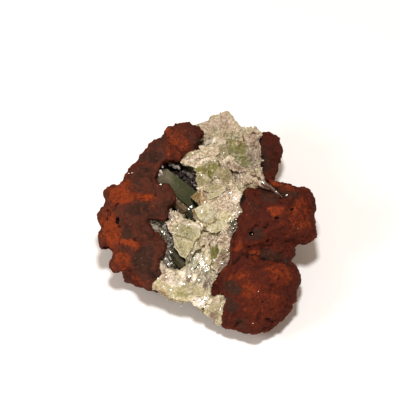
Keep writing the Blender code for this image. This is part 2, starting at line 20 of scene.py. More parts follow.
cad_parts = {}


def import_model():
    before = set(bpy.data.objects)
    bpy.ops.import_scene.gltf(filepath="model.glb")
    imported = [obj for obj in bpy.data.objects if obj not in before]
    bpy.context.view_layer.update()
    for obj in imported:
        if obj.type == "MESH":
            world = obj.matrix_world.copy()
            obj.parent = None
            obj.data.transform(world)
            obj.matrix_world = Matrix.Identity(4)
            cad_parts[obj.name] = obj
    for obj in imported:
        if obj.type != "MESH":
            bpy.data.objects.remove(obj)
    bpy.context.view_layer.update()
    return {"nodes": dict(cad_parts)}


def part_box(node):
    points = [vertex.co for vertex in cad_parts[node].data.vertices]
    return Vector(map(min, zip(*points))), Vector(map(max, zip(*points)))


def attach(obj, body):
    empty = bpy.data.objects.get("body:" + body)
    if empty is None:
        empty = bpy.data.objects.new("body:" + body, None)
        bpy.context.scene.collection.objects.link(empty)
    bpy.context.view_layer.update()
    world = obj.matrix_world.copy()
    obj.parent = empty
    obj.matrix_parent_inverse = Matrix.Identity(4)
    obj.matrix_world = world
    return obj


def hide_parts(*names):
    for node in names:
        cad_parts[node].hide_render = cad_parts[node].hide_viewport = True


log = logging.getLogger("adamite")

MM = 0.001
# The angle from which an edge counts as sharp, in radians.
SHARP_EDGE = 0.45
# Multipliers that spread neighbouring cells over all the random values.
HASH = np.array((12.9898, 78.233, 37.719))
# Where the noise of each axis is read, so that the three differ.
RAGGED = (11.0, 41.0, 67.0)
# The middle of the long prism on the face.
PRISM_MIDDLE = (-6.0, 8.15, -0.2)
Point2 = Tuple[float, float]
Point3 = Tuple[float, float, float]
Colour = Tuple[float, float, float]
Rows = np.ndarray
BMesh = bmesh.types.BMesh
Piece = bpy.types.Object
Mesh = bpy.types.Mesh
Material = bpy.types.Material
Tree = bpy.types.NodeTree
Node = bpy.types.Node
Socket = bpy.types.NodeSocket


class Tone(Enum):
    """The hues of the crystals, each the name of the mask that brings it out."""

    PALE = "pale"
    OLIVE = "olive"
    GOLDEN = "golden"
    GREY = "grey"
    ROSY = "rosy"
    # Milky white crystal, and painted highlights where the glassy zone and the lower plate shine.
    MILKY = "milky"
    # Dark druse in the seams, and painted shade on the hollow's walls and on the flank by the knob.
    DARK = "dark"
    RUSTY = "rusty"


class Build(Enum):
    """How a listed crystal is used: left crisp and clear, or broken and grown into the mass."""

    CLEAR = "clear"
    BROKEN = "broken"


@dataclass(frozen=True)
class Face:
    """The frame of the display face."""

    shift: Vector
    tilt: float = math.radians(35.0)
    height: float = 15.5

    def matrix(self) -> Matrix:
        """The matrix from the face, in millimetres, to the table, in metres."""
        lift = Matrix.Translation((0.0, 0.0, self.height))
        turn = Matrix.Rotation(self.tilt, 4, "X")
        return Matrix.Translation(self.shift) @ Matrix.Scale(MM, 4) @ lift @ turn

    def world(self, point: Sequence[float]) -> Vector:
        """A point of the face, on the table."""
        return self.matrix() @ Vector(point)

    def local(self, points: Rows) -> Rows:
        """Points on the table as a, b and c, in millimetres.

        Args:
            points: rows of x, y and z in metres.

        Returns:
            Rows of a, b and c.
        """
        back = np.array(self.matrix().inverted())
        return points @ back[:3, :3].T + back[:3, 3]

    def outward(self) -> Rows:
        """The way that the face looks, as one row."""
        return np.array(Vector((0.0, -math.sin(self.tilt), math.cos(self.tilt))))


@dataclass(frozen=True)
class Patch:
    """A soft spot on the face: its centre, half sizes, turn in degrees and strength."""

    a: float
    b: float
    half_a: float
    half_b: float
    turn: float = 0.0
    strength: float = 1.0

    def cover(self, places: Rows) -> Rows:
        """How strongly the patch covers each place, 1 in its middle and 0 outside.

        Args:
            places: rows that start with a and b.

        Returns:
            One value for each row.
        """
        turn = math.radians(self.turn)
        along = places[:, :2] - (self.a, self.b)
        x = (along[:, 0] * math.cos(turn) + along[:, 1] * math.sin(turn)) / self.half_a
        y = (along[:, 1] * math.cos(turn) - along[:, 0] * math.sin(turn)) / self.half_b
        return self.strength * smooth(1.35, 0.55, np.hypot(x, y))


def spots(*rows: Sequence[float]) -> Tuple[Patch, ...]:
    """Patches from rows of their values."""
    return tuple(Patch(*row) for row in rows)


@dataclass(frozen=True)
class Groove:
    """A crack or crease: a line on the face, its half width and its depth."""

    line: Tuple[Point2, ...]
    width: float
    depth: float

    def cover(self, places: Rows) -> Rows:
        """How far each place is into the groove, from 0 to 1."""
        nearest = np.full(len(places), 1e9)
        for start, end in zip(self.line, self.line[1:]):
            start, way = np.array(start), np.array(end) - start
            share = np.clip((places[:, :2] - start) @ way / (way @ way), 0.0, 1.0)
            gap = places[:, :2] - (start + share[:, None] * way)
            nearest = np.minimum(nearest, np.hypot(gap[:, 0], gap[:, 1]))
        return smooth(1.0, 0.0, nearest / self.width)


@dataclass(frozen=True)
class Shard:
    """A listed crystal or cleavage plate: its outline on the face and how its top lies there.

    The rise is the height of its top over the solid, tilt its extra slopes along a and b, the depth its
    thickness and lean how far its foot is moved. A crown's points stand out over its top, and then the
    shard is the hull of all its corners. A host is the outline of the plate that it is set into, and a
    level gives its slopes along a and b outright.
    """

    outline: Tuple[Point2, ...]
    build: Build = Build.BROKEN
    tone: Tone = Tone.PALE
    rise: float = 0.3
    tilt: Point2 = (0.0, 0.0)
    depth: float = 2.5
    lean: Point2 = (0.2, 0.1)
    crown: Tuple[Point3, ...] = ()
    host: Tuple[Point2, ...] = ()
    level: Optional[Point2] = None

    def middle(self) -> Rows:
        """The mean of the outline's corners."""
        return np.mean(self.outline, axis=0)

    def tops(self, plane: Rows) -> List[Point3]:
        """The corners of its top.

        Args:
            plane: the slopes along a and b and the height at the middle of the surface that it lies on.

        Returns:
            Their a, b and c, those of the crown last.
        """
        mid_a, mid_b = self.middle()
        slope_a, slope_b, height = plane[0] + self.tilt[0], plane[1] + self.tilt[1], plane[2] + self.rise
        corners = [(a, b, 0.0) for a, b in self.outline] + list(self.crown)
        return [
            (a, b, height + slope_a * (a - mid_a) + slope_b * (b - mid_b) + more) for a, b, more in corners
        ]

    def add_to(self, bm: BMesh, plane: Rows, place: Matrix) -> None:
        """Adds the closed shape to a bmesh.

        Args:
            bm: the bmesh.
            plane: the surface that it lies on.
            place: the matrix from the face to the table.
        """
        tops = self.tops(plane)
        lean_a, lean_b = self.lean
        feet = [(a + lean_a, b + lean_b, c - self.depth) for a, b, c in tops[: len(self.outline)]]
        if self.crown:
            corners = [bm.verts.new(place @ Vector(corner)) for corner in tops + feet]
            made = bmesh.ops.convex_hull(bm, input=corners)
            loose = [v for v in made["geom_interior"] if isinstance(v, bmesh.types.BMVert)]
            bmesh.ops.delete(bm, geom=loose, context="VERTS")
            return
        upper = [bm.verts.new(place @ Vector(corner)) for corner in tops]
        lower = [bm.verts.new(place @ Vector(corner)) for corner in feet]
        sides = [bm.faces.new(upper), bm.faces.new(lower[::-1])]
        for i, corner in enumerate(upper):
            sides.append(bm.faces.new((corner, upper[i - 1], lower[i - 1], lower[i])))
        bmesh.ops.recalc_face_normals(bm, faces=sides)
        bmesh.ops.triangulate(bm, faces=sides[:2])


def crystal(outline: Tuple[Point2, ...], *more: object, **named: object) -> Shard:
    """A shard that is left crisp and clear."""
    return Shard(outline, Build.CLEAR, *more, **named)


def smooth(low: float, high: float, values: Rows) -> Rows:
    """A soft step from 0 at low to 1 at high."""
    share = np.clip((values - low) / (high - low), 0.0, 1.0)
    return share * share * (3.0 - 2.0 * share)


def rough(places: Rows, size: float, octaves: int = 3) -> Rows:
    """Fractal noise of about -1 to 1 at each place, with lumps of this size in millimetres."""
    return np.array([noise.fractal(p, 0.8, 2.0, octaves) for p in (places / size).tolist()])


def cells(places: Rows, size: float) -> Tuple[Rows, Rows]:
    """The random cells that places lie in.

    Args:
        places: rows of coordinates in millimetres.
        size: how wide a cell is, in millimetres.

    Returns:
        The distances to the two nearest cell centres, and the nearest centre, in the places' own units.
    """
    found = [noise.voronoi(p) for p in (places / size).tolist()]
    gaps = np.array([distances[:2] for distances, _ in found]) * size
    return gaps, np.array([tuple(centres[0]) for _, centres in found]) * size


def dice_at(centres: Rows, salt: float) -> Rows:
    """A random value from 0 to 1 for each cell centre."""
    mixed = np.sin(centres @ HASH + salt) * 43758.5453
    return mixed - np.floor(mixed)


def drift(places: Rows, size: float, octaves: int, shifts: Point3 = (0.0, 31.0, 57.0)) -> Rows:
    """A random shift of about -1 to 1 along each axis, with lumps of this size in millimetres."""
    return np.stack([rough(places + shift, size, octaves) for shift in shifts], axis=1)


def beside(grid: Rows) -> List[Rows]:
    """The grid moved by one cell each way."""
    return [np.roll(grid, way, axis) for axis in (0, 1) for way in (-1, 1)]


def outline_grid(local: Rows, cell: float) -> Tuple[Rows, Rows, Rows]:
    """A grid over the places.

    Args:
        local: the places as a, b and c.
        cell: the gap between its lines, in millimetres.

    Returns:
        Its first place, how many it has each way, and the column and row of each of the places.
    """
    low = local[:, :2].min(axis=0) - 1.0
    size = np.ceil((local[:, :2].max(axis=0) + 1.0 - low) / cell).astype(int)
    return low, size, np.round((local[:, :2] - low) / cell).astype(int).T


def facets(places: Rows, size: float, slope: float, salt: float) -> Rows:
    """The height of broken facets: in each random cell a plane that leans its own way.

    Args:
        places: rows of coordinates in millimetres.
        size: how wide a facet is.
        slope: how steeply the planes lean at most.
        salt: picks another set of leanings.

    Returns:
        One height for each row.
    """
    _, centres = cells(places, size)
    lean = np.stack([dice_at(centres, salt + turn) - 0.5 for turn in range(3)], axis=1) * 2.0 * slope
    step = (dice_at(centres, salt + 5.0) - 0.5) * 0.35 * slope * size
    return ((places - centres) * lean).sum(axis=1) + step


def new_object(name: str, mesh: Mesh) -> Piece:
    """An object at the origin that holds this mesh."""
    obj = bpy.data.objects.new(name, mesh)
    bpy.context.scene.collection.objects.link(obj)
    return obj


def from_bmesh(name: str, bm: BMesh) -> Piece:
    """An object at the origin that holds this bmesh, which is freed."""
    mesh = bpy.data.meshes.new(name)
    bm.to_mesh(mesh)
    bm.free()
    return new_object(name, mesh)


def copy_of(node: Piece, name: str) -> Piece:
    """A copy of a solid whose loose triangles are joined at their corners."""
    bm = bmesh.new()
    bm.from_mesh(node.data)
    bmesh.ops.remove_doubles(bm, verts=bm.verts[:], dist=1e-6)
    return from_bmesh(name, bm)


def apply_modifiers(obj: Piece) -> None:
    """Turns the object's modifiers into its mesh."""
    bpy.context.view_layer.update()
    graph = bpy.context.evaluated_depsgraph_get()
    mesh = bpy.data.meshes.new_from_object(obj.evaluated_get(graph))
    obj.modifiers.clear()
    obj.data = mesh


def one_skin(obj: Piece, voxel: float, smoothing: int) -> None:
    """Makes one closed skin round all that the object holds.

    Args:
        obj: the object, changed in place.
        voxel: how fine the skin is, in millimetres.
        smoothing: how often its creases are softened.
    """
    remesh = obj.modifiers.new("skin", "REMESH")
    remesh.mode = "VOXEL"
    remesh.voxel_size = voxel * MM
    if smoothing:
        soft = obj.modifiers.new("soft", "SMOOTH")
        soft.factor = 0.5
        soft.iterations = smoothing
    apply_modifiers(obj)


def read_skin(obj: Piece) -> Tuple[Rows, Rows]:
    """The places and normals of the mesh's vertices, as rows."""
    count = len(obj.data.vertices)
    places, normals = np.empty(count * 3), np.empty(count * 3, np.float32)
    obj.data.vertices.foreach_get("co", places)
    obj.data.vertex_normals.foreach_get("vector", normals)
    return places.reshape(-1, 3), normals.reshape(-1, 3).astype(float)


def write_skin(obj: Piece, places: Rows) -> None:
    """Moves the mesh's vertices to these places."""
    obj.data.vertices.foreach_set("co", places.ravel())
    obj.data.update()


def write_mask(obj: Piece, name: str, values: Rows) -> None:
    """Stores one value for each vertex under this name, for the finishes to read."""
    mask = obj.data.attributes.get(name) or obj.data.attributes.new(name, "FLOAT", "POINT")
    mask.data.foreach_set("value", np.clip(values, 0.0, 1.0).astype(np.float32))


def read_mask(obj: Piece, name: str) -> Rows:
    """The values that the mesh holds under this name, one for each vertex."""
    values = np.empty(len(obj.data.vertices), np.float32)
    obj.data.attributes[name].data.foreach_get("value", values)
    return values.astype(float)


def write_edges(obj: Piece, reach: float) -> None:
    """Stores how near each vertex is to a sharp outer edge.

    Args:
        obj: the piece.
        reach: how far an edge is felt, in millimetres.
    """
    bm = bmesh.new()
    bm.from_mesh(obj.data)
    sharp = [edge for edge in bm.edges if edge.is_manifold and edge.calc_face_angle_signed() > SHARP_EDGE]
    corners = {corner.index: corner.co for edge in sharp for corner in edge.verts}
    tree = KDTree(len(corners))
    for index, place in corners.items():
        tree.insert(place, index)
    tree.balance()
    gaps = np.array([tree.find(corner.co)[2] for corner in bm.verts])
    bm.free()
    write_mask(obj, "edge", smooth(reach * MM, 0.0, gaps))


def most_of(patches: Sequence[Patch], places: Rows) -> Rows:
    """The strongest cover of all the patches at each place."""
    cover = np.zeros(len(places))
    for patch in patches:
        cover = np.maximum(cover, patch.cover(places))
    return cover


class Graph:
    """A node tree under construction."""

    def __init__(self, tree: Tree) -> None:
        """Starts on this tree."""
        self.tree = tree

    def add(self, kind: str, feed: Optional[dict] = None, **settings: object) -> Node:
        """Adds a node.

        Args:
            kind: the node's type.
            feed: its inputs by name or number, each a value or a socket to link from.
            settings: its properties.

        Returns:
            The node.
        """
        node = self.tree.nodes.new(kind)
        for key, value in settings.items():
            setattr(node, key, value)
        for key, value in (feed or {}).items():
            if isinstance(value, Socket):
                self.tree.links.new(value, node.inputs[key])
            else:
                node.inputs[key].default_value = value
        return node

    def sum(self, operation: str, *values: object) -> Socket:
        """The result of a sum on numbers or sockets."""
        kind = "ShaderNodeMath"
        return self.add(kind, dict(enumerate(values)), operation=operation).outputs[0]

    def plus(self, first: object, second: object) -> Socket:
        """The sum of two numbers."""
        return self.sum("ADD", first, second)

    def minus(self, first: object, second: object) -> Socket:
        """The first number without the second."""
        return self.sum("SUBTRACT", first, second)

    def times(self, first: object, second: object) -> Socket:
        """The product of two numbers."""
        return self.sum("MULTIPLY", first, second)

    def vector(self, operation: str, *values: object) -> Socket:
        """The result of a sum on vectors."""
        kind = "ShaderNodeVectorMath"
        return self.add(kind, dict(enumerate(values)), operation=operation).outputs[0]

    def scaled(self, vector: object, share: object) -> Socket:
        """A colour or vector times a number."""
        return self.add("ShaderNodeVectorMath", {0: vector, "Scale": share}, operation="SCALE").outputs[0]

    def blend(self, share: object, first: object, second: object) -> Socket:
        """The mix of two numbers."""
        return self.add("ShaderNodeMix", {0: share, 2: first, 3: second}).outputs[0]

    def mix(self, share: object, first: object, second: object) -> Socket:
        """The mix of two colours."""
        colours = [(*c, 1.0) if isinstance(c, tuple) else c for c in (first, second)]
        feed = {0: share, 6: colours[0], 7: colours[1]}
        return self.add("ShaderNodeMix", feed, data_type="RGBA").outputs[2]

    def step(self, value: object, low: float, high: float) -> Socket:
        """A soft step from 0 at low to 1 at high."""
        feed = {0: value, 1: low, 2: high}
        return self.add("ShaderNodeMapRange", feed, interpolation_type="SMOOTHSTEP").outputs[0]

    def mask(self, name: str, strength: Optional[float] = None) -> Socket:
        """The value that the mesh holds under this name, times a strength where one is given."""
        value = self.add("ShaderNodeAttribute", attribute_name=name).outputs["Fac"]
        return value if strength is None else self.times(value, strength)

    def group(self, name: str, **feed: object) -> Node:
        """Places a shared effect, with its inputs by name."""
        named = {key.replace("_", " "): value for key, value in feed.items()}
        return self.add("ShaderNodeGroup", named, node_tree=Effects.get(name))

    def clouds(self, size: object, detail: float) -> Socket:
        """Soft clouds of a size in millimetres."""
        return self.group("mottle", Size=size, Detail=detail).outputs[0]

    def torn(self, mask: object, size: float, tear: float) -> Socket:
        """A mask whose soft edge is torn."""
        return self.group("ragged", Mask=mask, Size=size, Tear=tear).outputs[0]

    def ends(self, *values: Socket) -> Tree:
        """Ends a group with its results."""
        self.add("NodeGroupOutput", dict(enumerate(values)))
        return self.tree

    def random(self, low: object, high: object, seed: int) -> Socket:
        """A random number for each point."""
        feed = {2: low, 3: high, "Seed": seed}
        return self.add("FunctionNodeRandomValue", feed, data_type="FLOAT").outputs[1]

    def bump(self, strength: float, depth: float, height: Socket, **more: Socket) -> Socket:
        """The normal over a fine relief, of a depth in metres."""
        feed = {"Strength": strength, "Distance": depth, "Height": height, **more}
        return self.add("ShaderNodeBump", feed).outputs[0]

    def wire(self, node: Node, **feed: Socket) -> None:
        """Links sockets to a node's inputs, with spaces in their names as underscores."""
        for key, value in feed.items():
            self.tree.links.new(value, node.inputs[key.replace("_", " ")])


class Effects:
    """The shared effects, each a node group that is built once."""

    made: Dict[str, Tree] = {}

    @classmethod
    def get(cls, name: str) -> Tree:
        """The effect with this name, built when it is first asked for."""
        if name not in cls.made:
            cls.made[name] = getattr(cls, name)(name)
        return cls.made[name]

    @staticmethod
    def start(name: str, inputs: Dict[str, float], *outputs: str) -> Tuple[Graph, Node]:
        """Starts a group.

        Args:
            name: its name.
            inputs: the default value of each input.
            outputs: the names of its results; a normal is a vector.

        Returns:
            Its graph and its input node.
        """
        tree = bpy.data.node_groups.new(name, "ShaderNodeTree")
        for key, value in inputs.items():
            socket = tree.interface.new_socket(key, in_out="INPUT", socket_type="NodeSocketFloat")
            socket.default_value = value
        for key in outputs:
            kind = "NodeSocketVector" if key == "Normal" else "NodeSocketFloat"
            tree.interface.new_socket(key, in_out="OUTPUT", socket_type=kind)
        graph = Graph(tree)
        return graph, graph.add("NodeGroupInput")

    @staticmethod
    def place(graph: Graph, size: object) -> Socket:
        """Object coordinates, counted in steps of this size in millimetres."""
        here = graph.add("ShaderNodeTexCoord").outputs["Object"]
        return graph.scaled(here, graph.sum("DIVIDE", 1.0 / MM, size))

    @classmethod
    def mottle(cls, name: str) -> Tree:
        """Soft clouds, warped a little, of a size in millimetres."""
        graph, given = cls.start(name, {"Size": 4.0, "Detail": 4.0}, "Value")
        feed = {"Vector": cls.place(graph, given.outputs[0]), "Scale": 1.0, "Detail": given.outputs[1]}
        clouds = graph.add("ShaderNodeTexNoise", {**feed, "Roughness": 0.6, "Distortion": 0.7})
        return graph.ends(clouds.outputs[0])

    @classmethod
    def ragged(cls, name: str) -> Tree:
        """A mask whose soft edge is torn by clouds."""
        graph, given = cls.start(name, {"Mask": 0.5, "Size": 1.5, "Tear": 0.8}, "Value")
        clouds = graph.clouds(given.outputs[1], 5.0)
        torn = graph.times(graph.minus(clouds, 0.5), given.outputs[2])
        return graph.ends(graph.step(graph.plus(given.outputs[0], torn), 0.3, 0.7))

    @classmethod
    def grain(cls, name: str) -> Tree:
        """An earthy, grainy height with small pores."""
        graph, given = cls.start(name, {"Size": 0.5}, "Height", "Pores")
        here = cls.place(graph, given.outputs[0])
        feed = {"Vector": here, "Scale": 1.0, "Detail": 5.0, "Roughness": 0.7}
        fine = graph.add("ShaderNodeTexNoise", feed)
        grains = graph.add("ShaderNodeTexVoronoi", {"Vector": here, "Scale": 1.3}, feature="SMOOTH_F1")
        wide = graph.add("ShaderNodeTexVoronoi", {"Vector": here, "Scale": 0.42})
        pores = graph.step(wide.outputs["Distance"], 0.2, 0.08)
        height = graph.minus(fine.outputs[0], graph.times(grains.outputs["Distance"], 0.6))
        return graph.ends(graph.minus(height, graph.times(pores, 0.6)), pores)

    @classmethod
    def glints(cls, name: str) -> Tree:
        """Tiny facets: a normal that turns from cell to cell, and a value for each cell."""
        graph, given = cls.start(name, {"Size": 0.5, "Turn": 0.4}, "Normal", "Value")
        feed = {"Vector": cls.place(graph, given.outputs[0]), "Scale": 1.0}
        drawn = graph.add("ShaderNodeTexVoronoi", feed).outputs["Color"]
        lean = graph.scaled(graph.vector("SUBTRACT", drawn, (0.5, 0.5, 0.5)), given.outputs[1])
        normal = graph.add("ShaderNodeNewGeometry").outputs["Normal"]
        turned = graph.vector("NORMALIZE", graph.vector("ADD", normal, lean))
        parts = graph.add("ShaderNodeSeparateXYZ", {0: drawn})
        return graph.ends(turned, parts.outputs[0])

    @classmethod
    def streaks(cls, name: str) -> Tree:
        """Fine streaks that run up to the right over the upper crystals and down over the lower ones."""
        graph, given = cls.start(name, {"Size": 0.4, "Tilt": math.radians(35.0)}, "Value")
        feed = {"Vector": cls.place(graph, given.outputs[0]), "Axis": (1.0, 0.0, 0.0)}
        flat = graph.add("ShaderNodeVectorRotate", {**feed, "Angle": graph.times(given.outputs[1], -1.0)})
        parts = []
        for turn, stretch in ((30.0, 0.2), (-55.0, 0.25), (75.0, 0.2)):
            feed = {"Vector": flat.outputs[0], "Angle": math.radians(-turn)}
            lying = graph.add("ShaderNodeVectorRotate", feed, rotation_type="Z_AXIS").outputs[0]
            drawn = graph.vector("MULTIPLY", lying, (stretch, 1.0, 0.6))
            feed = {"Vector": drawn, "Scale": 1.0, "Detail": 3.0, "Roughness": 0.6}
            parts.append(graph.add("ShaderNodeTexNoise", feed).outputs[0])
        chosen = graph.clouds(5.0, 1.0)
        first = graph.blend(graph.step(chosen, 0.45, 0.5), parts[0], parts[1])
        return graph.ends(graph.blend(graph.step(chosen, 0.52, 0.57), first, parts[2]))

    @classmethod
    def specks(cls, name: str) -> Tree:
        """Sparse small specks, where the cloud over them is dense enough."""
        graph, given = cls.start(name, {"Size": 0.6, "Amount": 0.3}, "Value")
        feed = {"Vector": cls.place(graph, given.outputs[0]), "Scale": 1.0}
        dots = graph.add("ShaderNodeTexVoronoi", feed)
        small = graph.step(dots.outputs["Distance"], 0.42, 0.22)
        chosen = graph.add("ShaderNodeSeparateXYZ", {0: dots.outputs["Color"]}).outputs[1]
        kept = graph.sum("LESS_THAN", chosen, given.outputs[1])
        return graph.ends(graph.times(small, kept))


def start_material(name: str, **values: object) -> Tuple[Material, Graph, Node]:
    """A new material.

    Args:
        name: its name.
        values: inputs of its shader, with spaces as underscores; no material here is metallic.

    Returns:
        The material, its graph and its shader.
    """
    made = bpy.data.materials.new(name)
    made.use_nodes = True
    shader = made.node_tree.nodes["Principled BSDF"]
    for key, value in {"Metallic": 0.0, **values}.items():
        shader.inputs[key.replace("_", " ")].default_value = value
    return made, Graph(made.node_tree), shader


@dataclass(frozen=True)
class GossanFinish:
    """Earthy iron oxide: deep red, rusty orange and dull dark patches, with painted shade, near black, in its
    crevices and pores.
    """

    deep: Colour = (0.066, 0.0135, 0.0082)
    rust: Colour = (0.104, 0.0180, 0.0078)
    bright: Colour = (0.235, 0.040, 0.0108)
    dull: Colour = (0.043, 0.0185, 0.0120)
    earth: Colour = (0.088, 0.034, 0.0215)
    dusty: Colour = (0.20, 0.10, 0.055)
    black: Colour = (0.010, 0.0065, 0.005)

    def make(self) -> Material:
        """The material."""
        made, graph, shader = start_material("rusty gossan", Specular_IOR_Level=0.07)
        wide = graph.clouds(5.0, 4.0)
        close = graph.clouds(1.6, 6.0)
        fine = graph.clouds(0.4, 4.0)
        grain = graph.group("grain", Size=0.42)
        around = graph.minus(graph.plus(close, graph.times(fine, 0.6)), 0.8)
        wider = graph.plus(graph.times(around, 1.5), graph.times(wide, 0.5))
        rusty = graph.plus(graph.mask("rust", 0.85), wider)
        colour = graph.mix(graph.step(rusty, 0.15, 0.75), self.deep, self.rust)
        brown = graph.minus(0.5, graph.mask("rust", 0.35))
        colour = graph.mix(graph.times(graph.mask("brown"), brown), colour, self.earth)
        colour = graph.mix(graph.step(rusty, 0.6, 1.25), colour, self.bright)
        dull = graph.step(graph.plus(graph.mask("dull"), graph.times(around, -1.8)), 0.2, 0.85)
        colour = graph.mix(graph.times(dull, 0.92), colour, self.dull)
        toned = graph.scaled(colour, graph.plus(0.5, fine))
        specks = graph.group("specks", Size=0.45, Amount=0.02).outputs[0]
        toned = graph.mix(graph.times(specks, 0.6), toned, self.dusty)
        # Painted shade: the pores and, below, the crevices are darkened towards near black.
        colour = graph.mix(graph.times(grain.outputs[1], 0.7), toned, self.black)
        colour = graph.mix(graph.step(graph.mask("crevice"), 0.15, 0.95), colour, self.black)
        roughness = graph.minus(0.9, graph.times(dull, 0.25))
        height = graph.plus(graph.plus(grain.outputs[0], graph.times(close, 1.5)), fine)
        bump = graph.bump(0.8, 0.0002, height)
        graph.wire(shader, Base_Color=colour, Roughness=roughness, Normal=bump)
        return made


@dataclass(frozen=True)
class AdamiteFinish:
    """Vitreous to waxy crystal in several hues, with broken powdery faces, glints and brown specks, painted
    shade in its crevices and painted highlights in some milky patches.
    """

    name: str = "broken adamite"
    pale: Colour = (0.415, 0.362, 0.188)
    olive: Colour = (0.185, 0.172, 0.027)
    golden: Colour = (0.27, 0.152, 0.034)
    grey: Colour = (0.33, 0.325, 0.21)
    rosy: Colour = (0.17, 0.105, 0.066)
    milky: Colour = (0.80, 0.72, 0.565)
    dark: Colour = (0.06, 0.06, 0.03)
    dust: Colour = (0.30, 0.205, 0.135)
    rusty: Colour = (0.085, 0.024, 0.012)
    powder: Colour = (0.46, 0.345, 0.235)
    bright: Colour = (0.76, 0.66, 0.53)
    brown: Colour = (0.12, 0.045, 0.022)
    transmission: float = 0.0
    roughness: float = 0.36
    facet: float = 0.42
    calm: float = 0.1
    turn: float = 0.6

    def make(self) -> Material:
        """The material."""
        looks = {"IOR": 1.6, "Transmission_Weight": self.transmission}
        made, graph, shader = start_material(self.name, **looks)
        streaks = graph.group("streaks", Size=0.42).outputs[0]
        close = graph.clouds(1.5, 5.0)
        fine = graph.clouds(0.45, 4.0)
        torn = graph.plus(graph.mask("powder"), graph.times(graph.minus(streaks, 0.5), 1.3))
        cloudy = graph.torn(torn, 0.8, 1.3)
        glints = graph.group("glints", Size=self.facet)
        sugar = graph.group("glints", Size=0.3).outputs[1]
        turn = graph.plus(self.calm, graph.times(cloudy, self.turn))
        colour = self.pale
        for tone in ("olive", "golden", "grey", "rosy", "milky", "dark"):
            cover = graph.torn(graph.mask(tone), 1.0, 0.9)
            cover = graph.times(graph.plus(cover, graph.mask(tone)), 0.5)
            colour = graph.mix(cover, colour, getattr(self, tone))
        shade = graph.plus(0.42, graph.mask("tint", 0.26))
        for value, low, high, share in ((streaks, 0.32, 0.66, 0.5), (fine, 0.3, 0.7, 0.36)):
            shade = graph.plus(shade, graph.times(graph.step(value, low, high), share))
        colour = graph.scaled(colour, shade)
        milk = graph.times(graph.step(streaks, 0.55, 0.72), graph.step(fine, 0.35, 0.6))
        tinted = graph.sum("MAXIMUM", graph.mask("olive"), graph.mask("rosy"))
        milk = graph.times(milk, graph.minus(0.55, graph.times(tinted, 0.52)))
        colour = graph.mix(milk, colour, self.milky)
        grains = graph.plus(graph.times(sugar, 0.5), graph.times(fine, 0.5))
        lit = graph.mix(graph.step(grains, 0.3, 0.52), self.dust, self.powder)
        lit = graph.mix(graph.step(grains, 0.5, 0.75), lit, self.bright)
        lit = graph.mix(graph.times(graph.step(close, 0.5, 0.32), 0.6), lit, self.rosy)
        # Where the milky patches are painted highlights, the bright colour stands in for the light.
        for name, hue in (("rosy", self.rosy), ("milky", self.bright), ("soft", self.powder)):
            lit = graph.mix(graph.mask(name, 0.7), lit, hue)
        clear = graph.minus(0.88, graph.mask("olive", 0.78))
        colour = graph.mix(graph.times(cloudy, clear), colour, lit)
        edge = graph.times(graph.mask("edge"), graph.step(fine, 0.35, 0.6))
        whitened = graph.minus(0.55, graph.mask("soft", 0.5))
        colour = graph.mix(graph.times(edge, whitened), colour, self.bright)
        specks = graph.group("specks", Size=0.7, Amount=0.08).outputs[0]
        colour = graph.mix(graph.times(specks, 0.7), colour, self.brown)
        rust = graph.torn(graph.mask("rusty"), 0.7, 0.6)
        colour = graph.mix(graph.times(rust, 0.94), colour, self.rusty)
        # Painted shade: the gaps between plates and the dips between crumbs are darkened to brown.
        colour = graph.mix(graph.step(graph.mask("crevice"), 0.1, 1.0), colour, self.brown)
        earthy = graph.blend(rust, graph.plus(self.roughness, graph.times(fine, 0.2)), 0.9)
        graph.wire(glints, Turn=turn)
        height = graph.plus(streaks, graph.times(fine, 0.5))
        bump = graph.bump(0.5, 0.00012, height, Normal=glints.outputs[0])
        graph.wire(shader, Base_Color=colour, Roughness=earthy, Normal=bump)
        return made


@dataclass(frozen=True)
class DruseFinish:
    """Tiny dark crystals that sparkle."""

    name: str
    colour: Colour
    second: Colour
    frosty: Colour = (0.42, 0.37, 0.34)
    frost: float = 0.96
    roughness: float = 0.12
    facet: float = 0.35
    turn: float = 0.5

    def make(self) -> Material:
        """The material."""
        made, graph, shader = start_material(self.name, IOR=1.7, Roughness=self.roughness)
        glints = graph.group("glints", Size=self.facet, Turn=self.turn)
        close = graph.clouds(0.9, 4.0)
        colour = graph.mix(graph.step(close, 0.4, 0.65), self.colour, self.second)
        colour = graph.scaled(colour, graph.plus(0.5, graph.mask("tint")))
        frosted = graph.step(graph.mask("tint"), self.frost, self.frost + 0.04)
        colour = graph.mix(frosted, colour, self.frosty)
        graph.wire(shader, Base_Color=colour, Normal=glints.outputs[0])
        return made


@dataclass(frozen=True)
class PrismFinish:
    """Clear dark green crystal with a cloudy end."""

    name: str = "green adamite"
    green: Colour = (0.115, 0.125, 0.06)
    cloud: Colour = (0.25, 0.21, 0.14)
    flush: Colour = (0.20, 0.12, 0.085)

    def make(self) -> Material:
        """The material."""
        looks = {"IOR": 1.7, "Roughness": 0.16, "Transmission_Weight": 0.35}
        made, graph, shader = start_material(self.name, **looks)
        close = graph.clouds(1.2, 5.0)
        fine = graph.clouds(0.5, 4.0)
        torn = graph.plus(graph.mask("powder"), graph.times(graph.minus(fine, 0.5), 0.8))
        cloudy = graph.times(graph.step(torn, 0.0, 1.0), 0.85)
        colour = graph.mix(graph.times(graph.step(close, 0.5, 0.7), 0.3), self.green, self.flush)
        colour = graph.mix(cloudy, colour, self.cloud)
        shade = graph.plus(graph.plus(0.35, graph.times(close, 0.7)), graph.times(fine, 0.6))
        bump = graph.bump(0.3, 0.0001, graph.clouds(0.5, 3.0))
        graph.wire(shader, Base_Color=graph.scaled(colour, shade), Normal=bump)
        return made


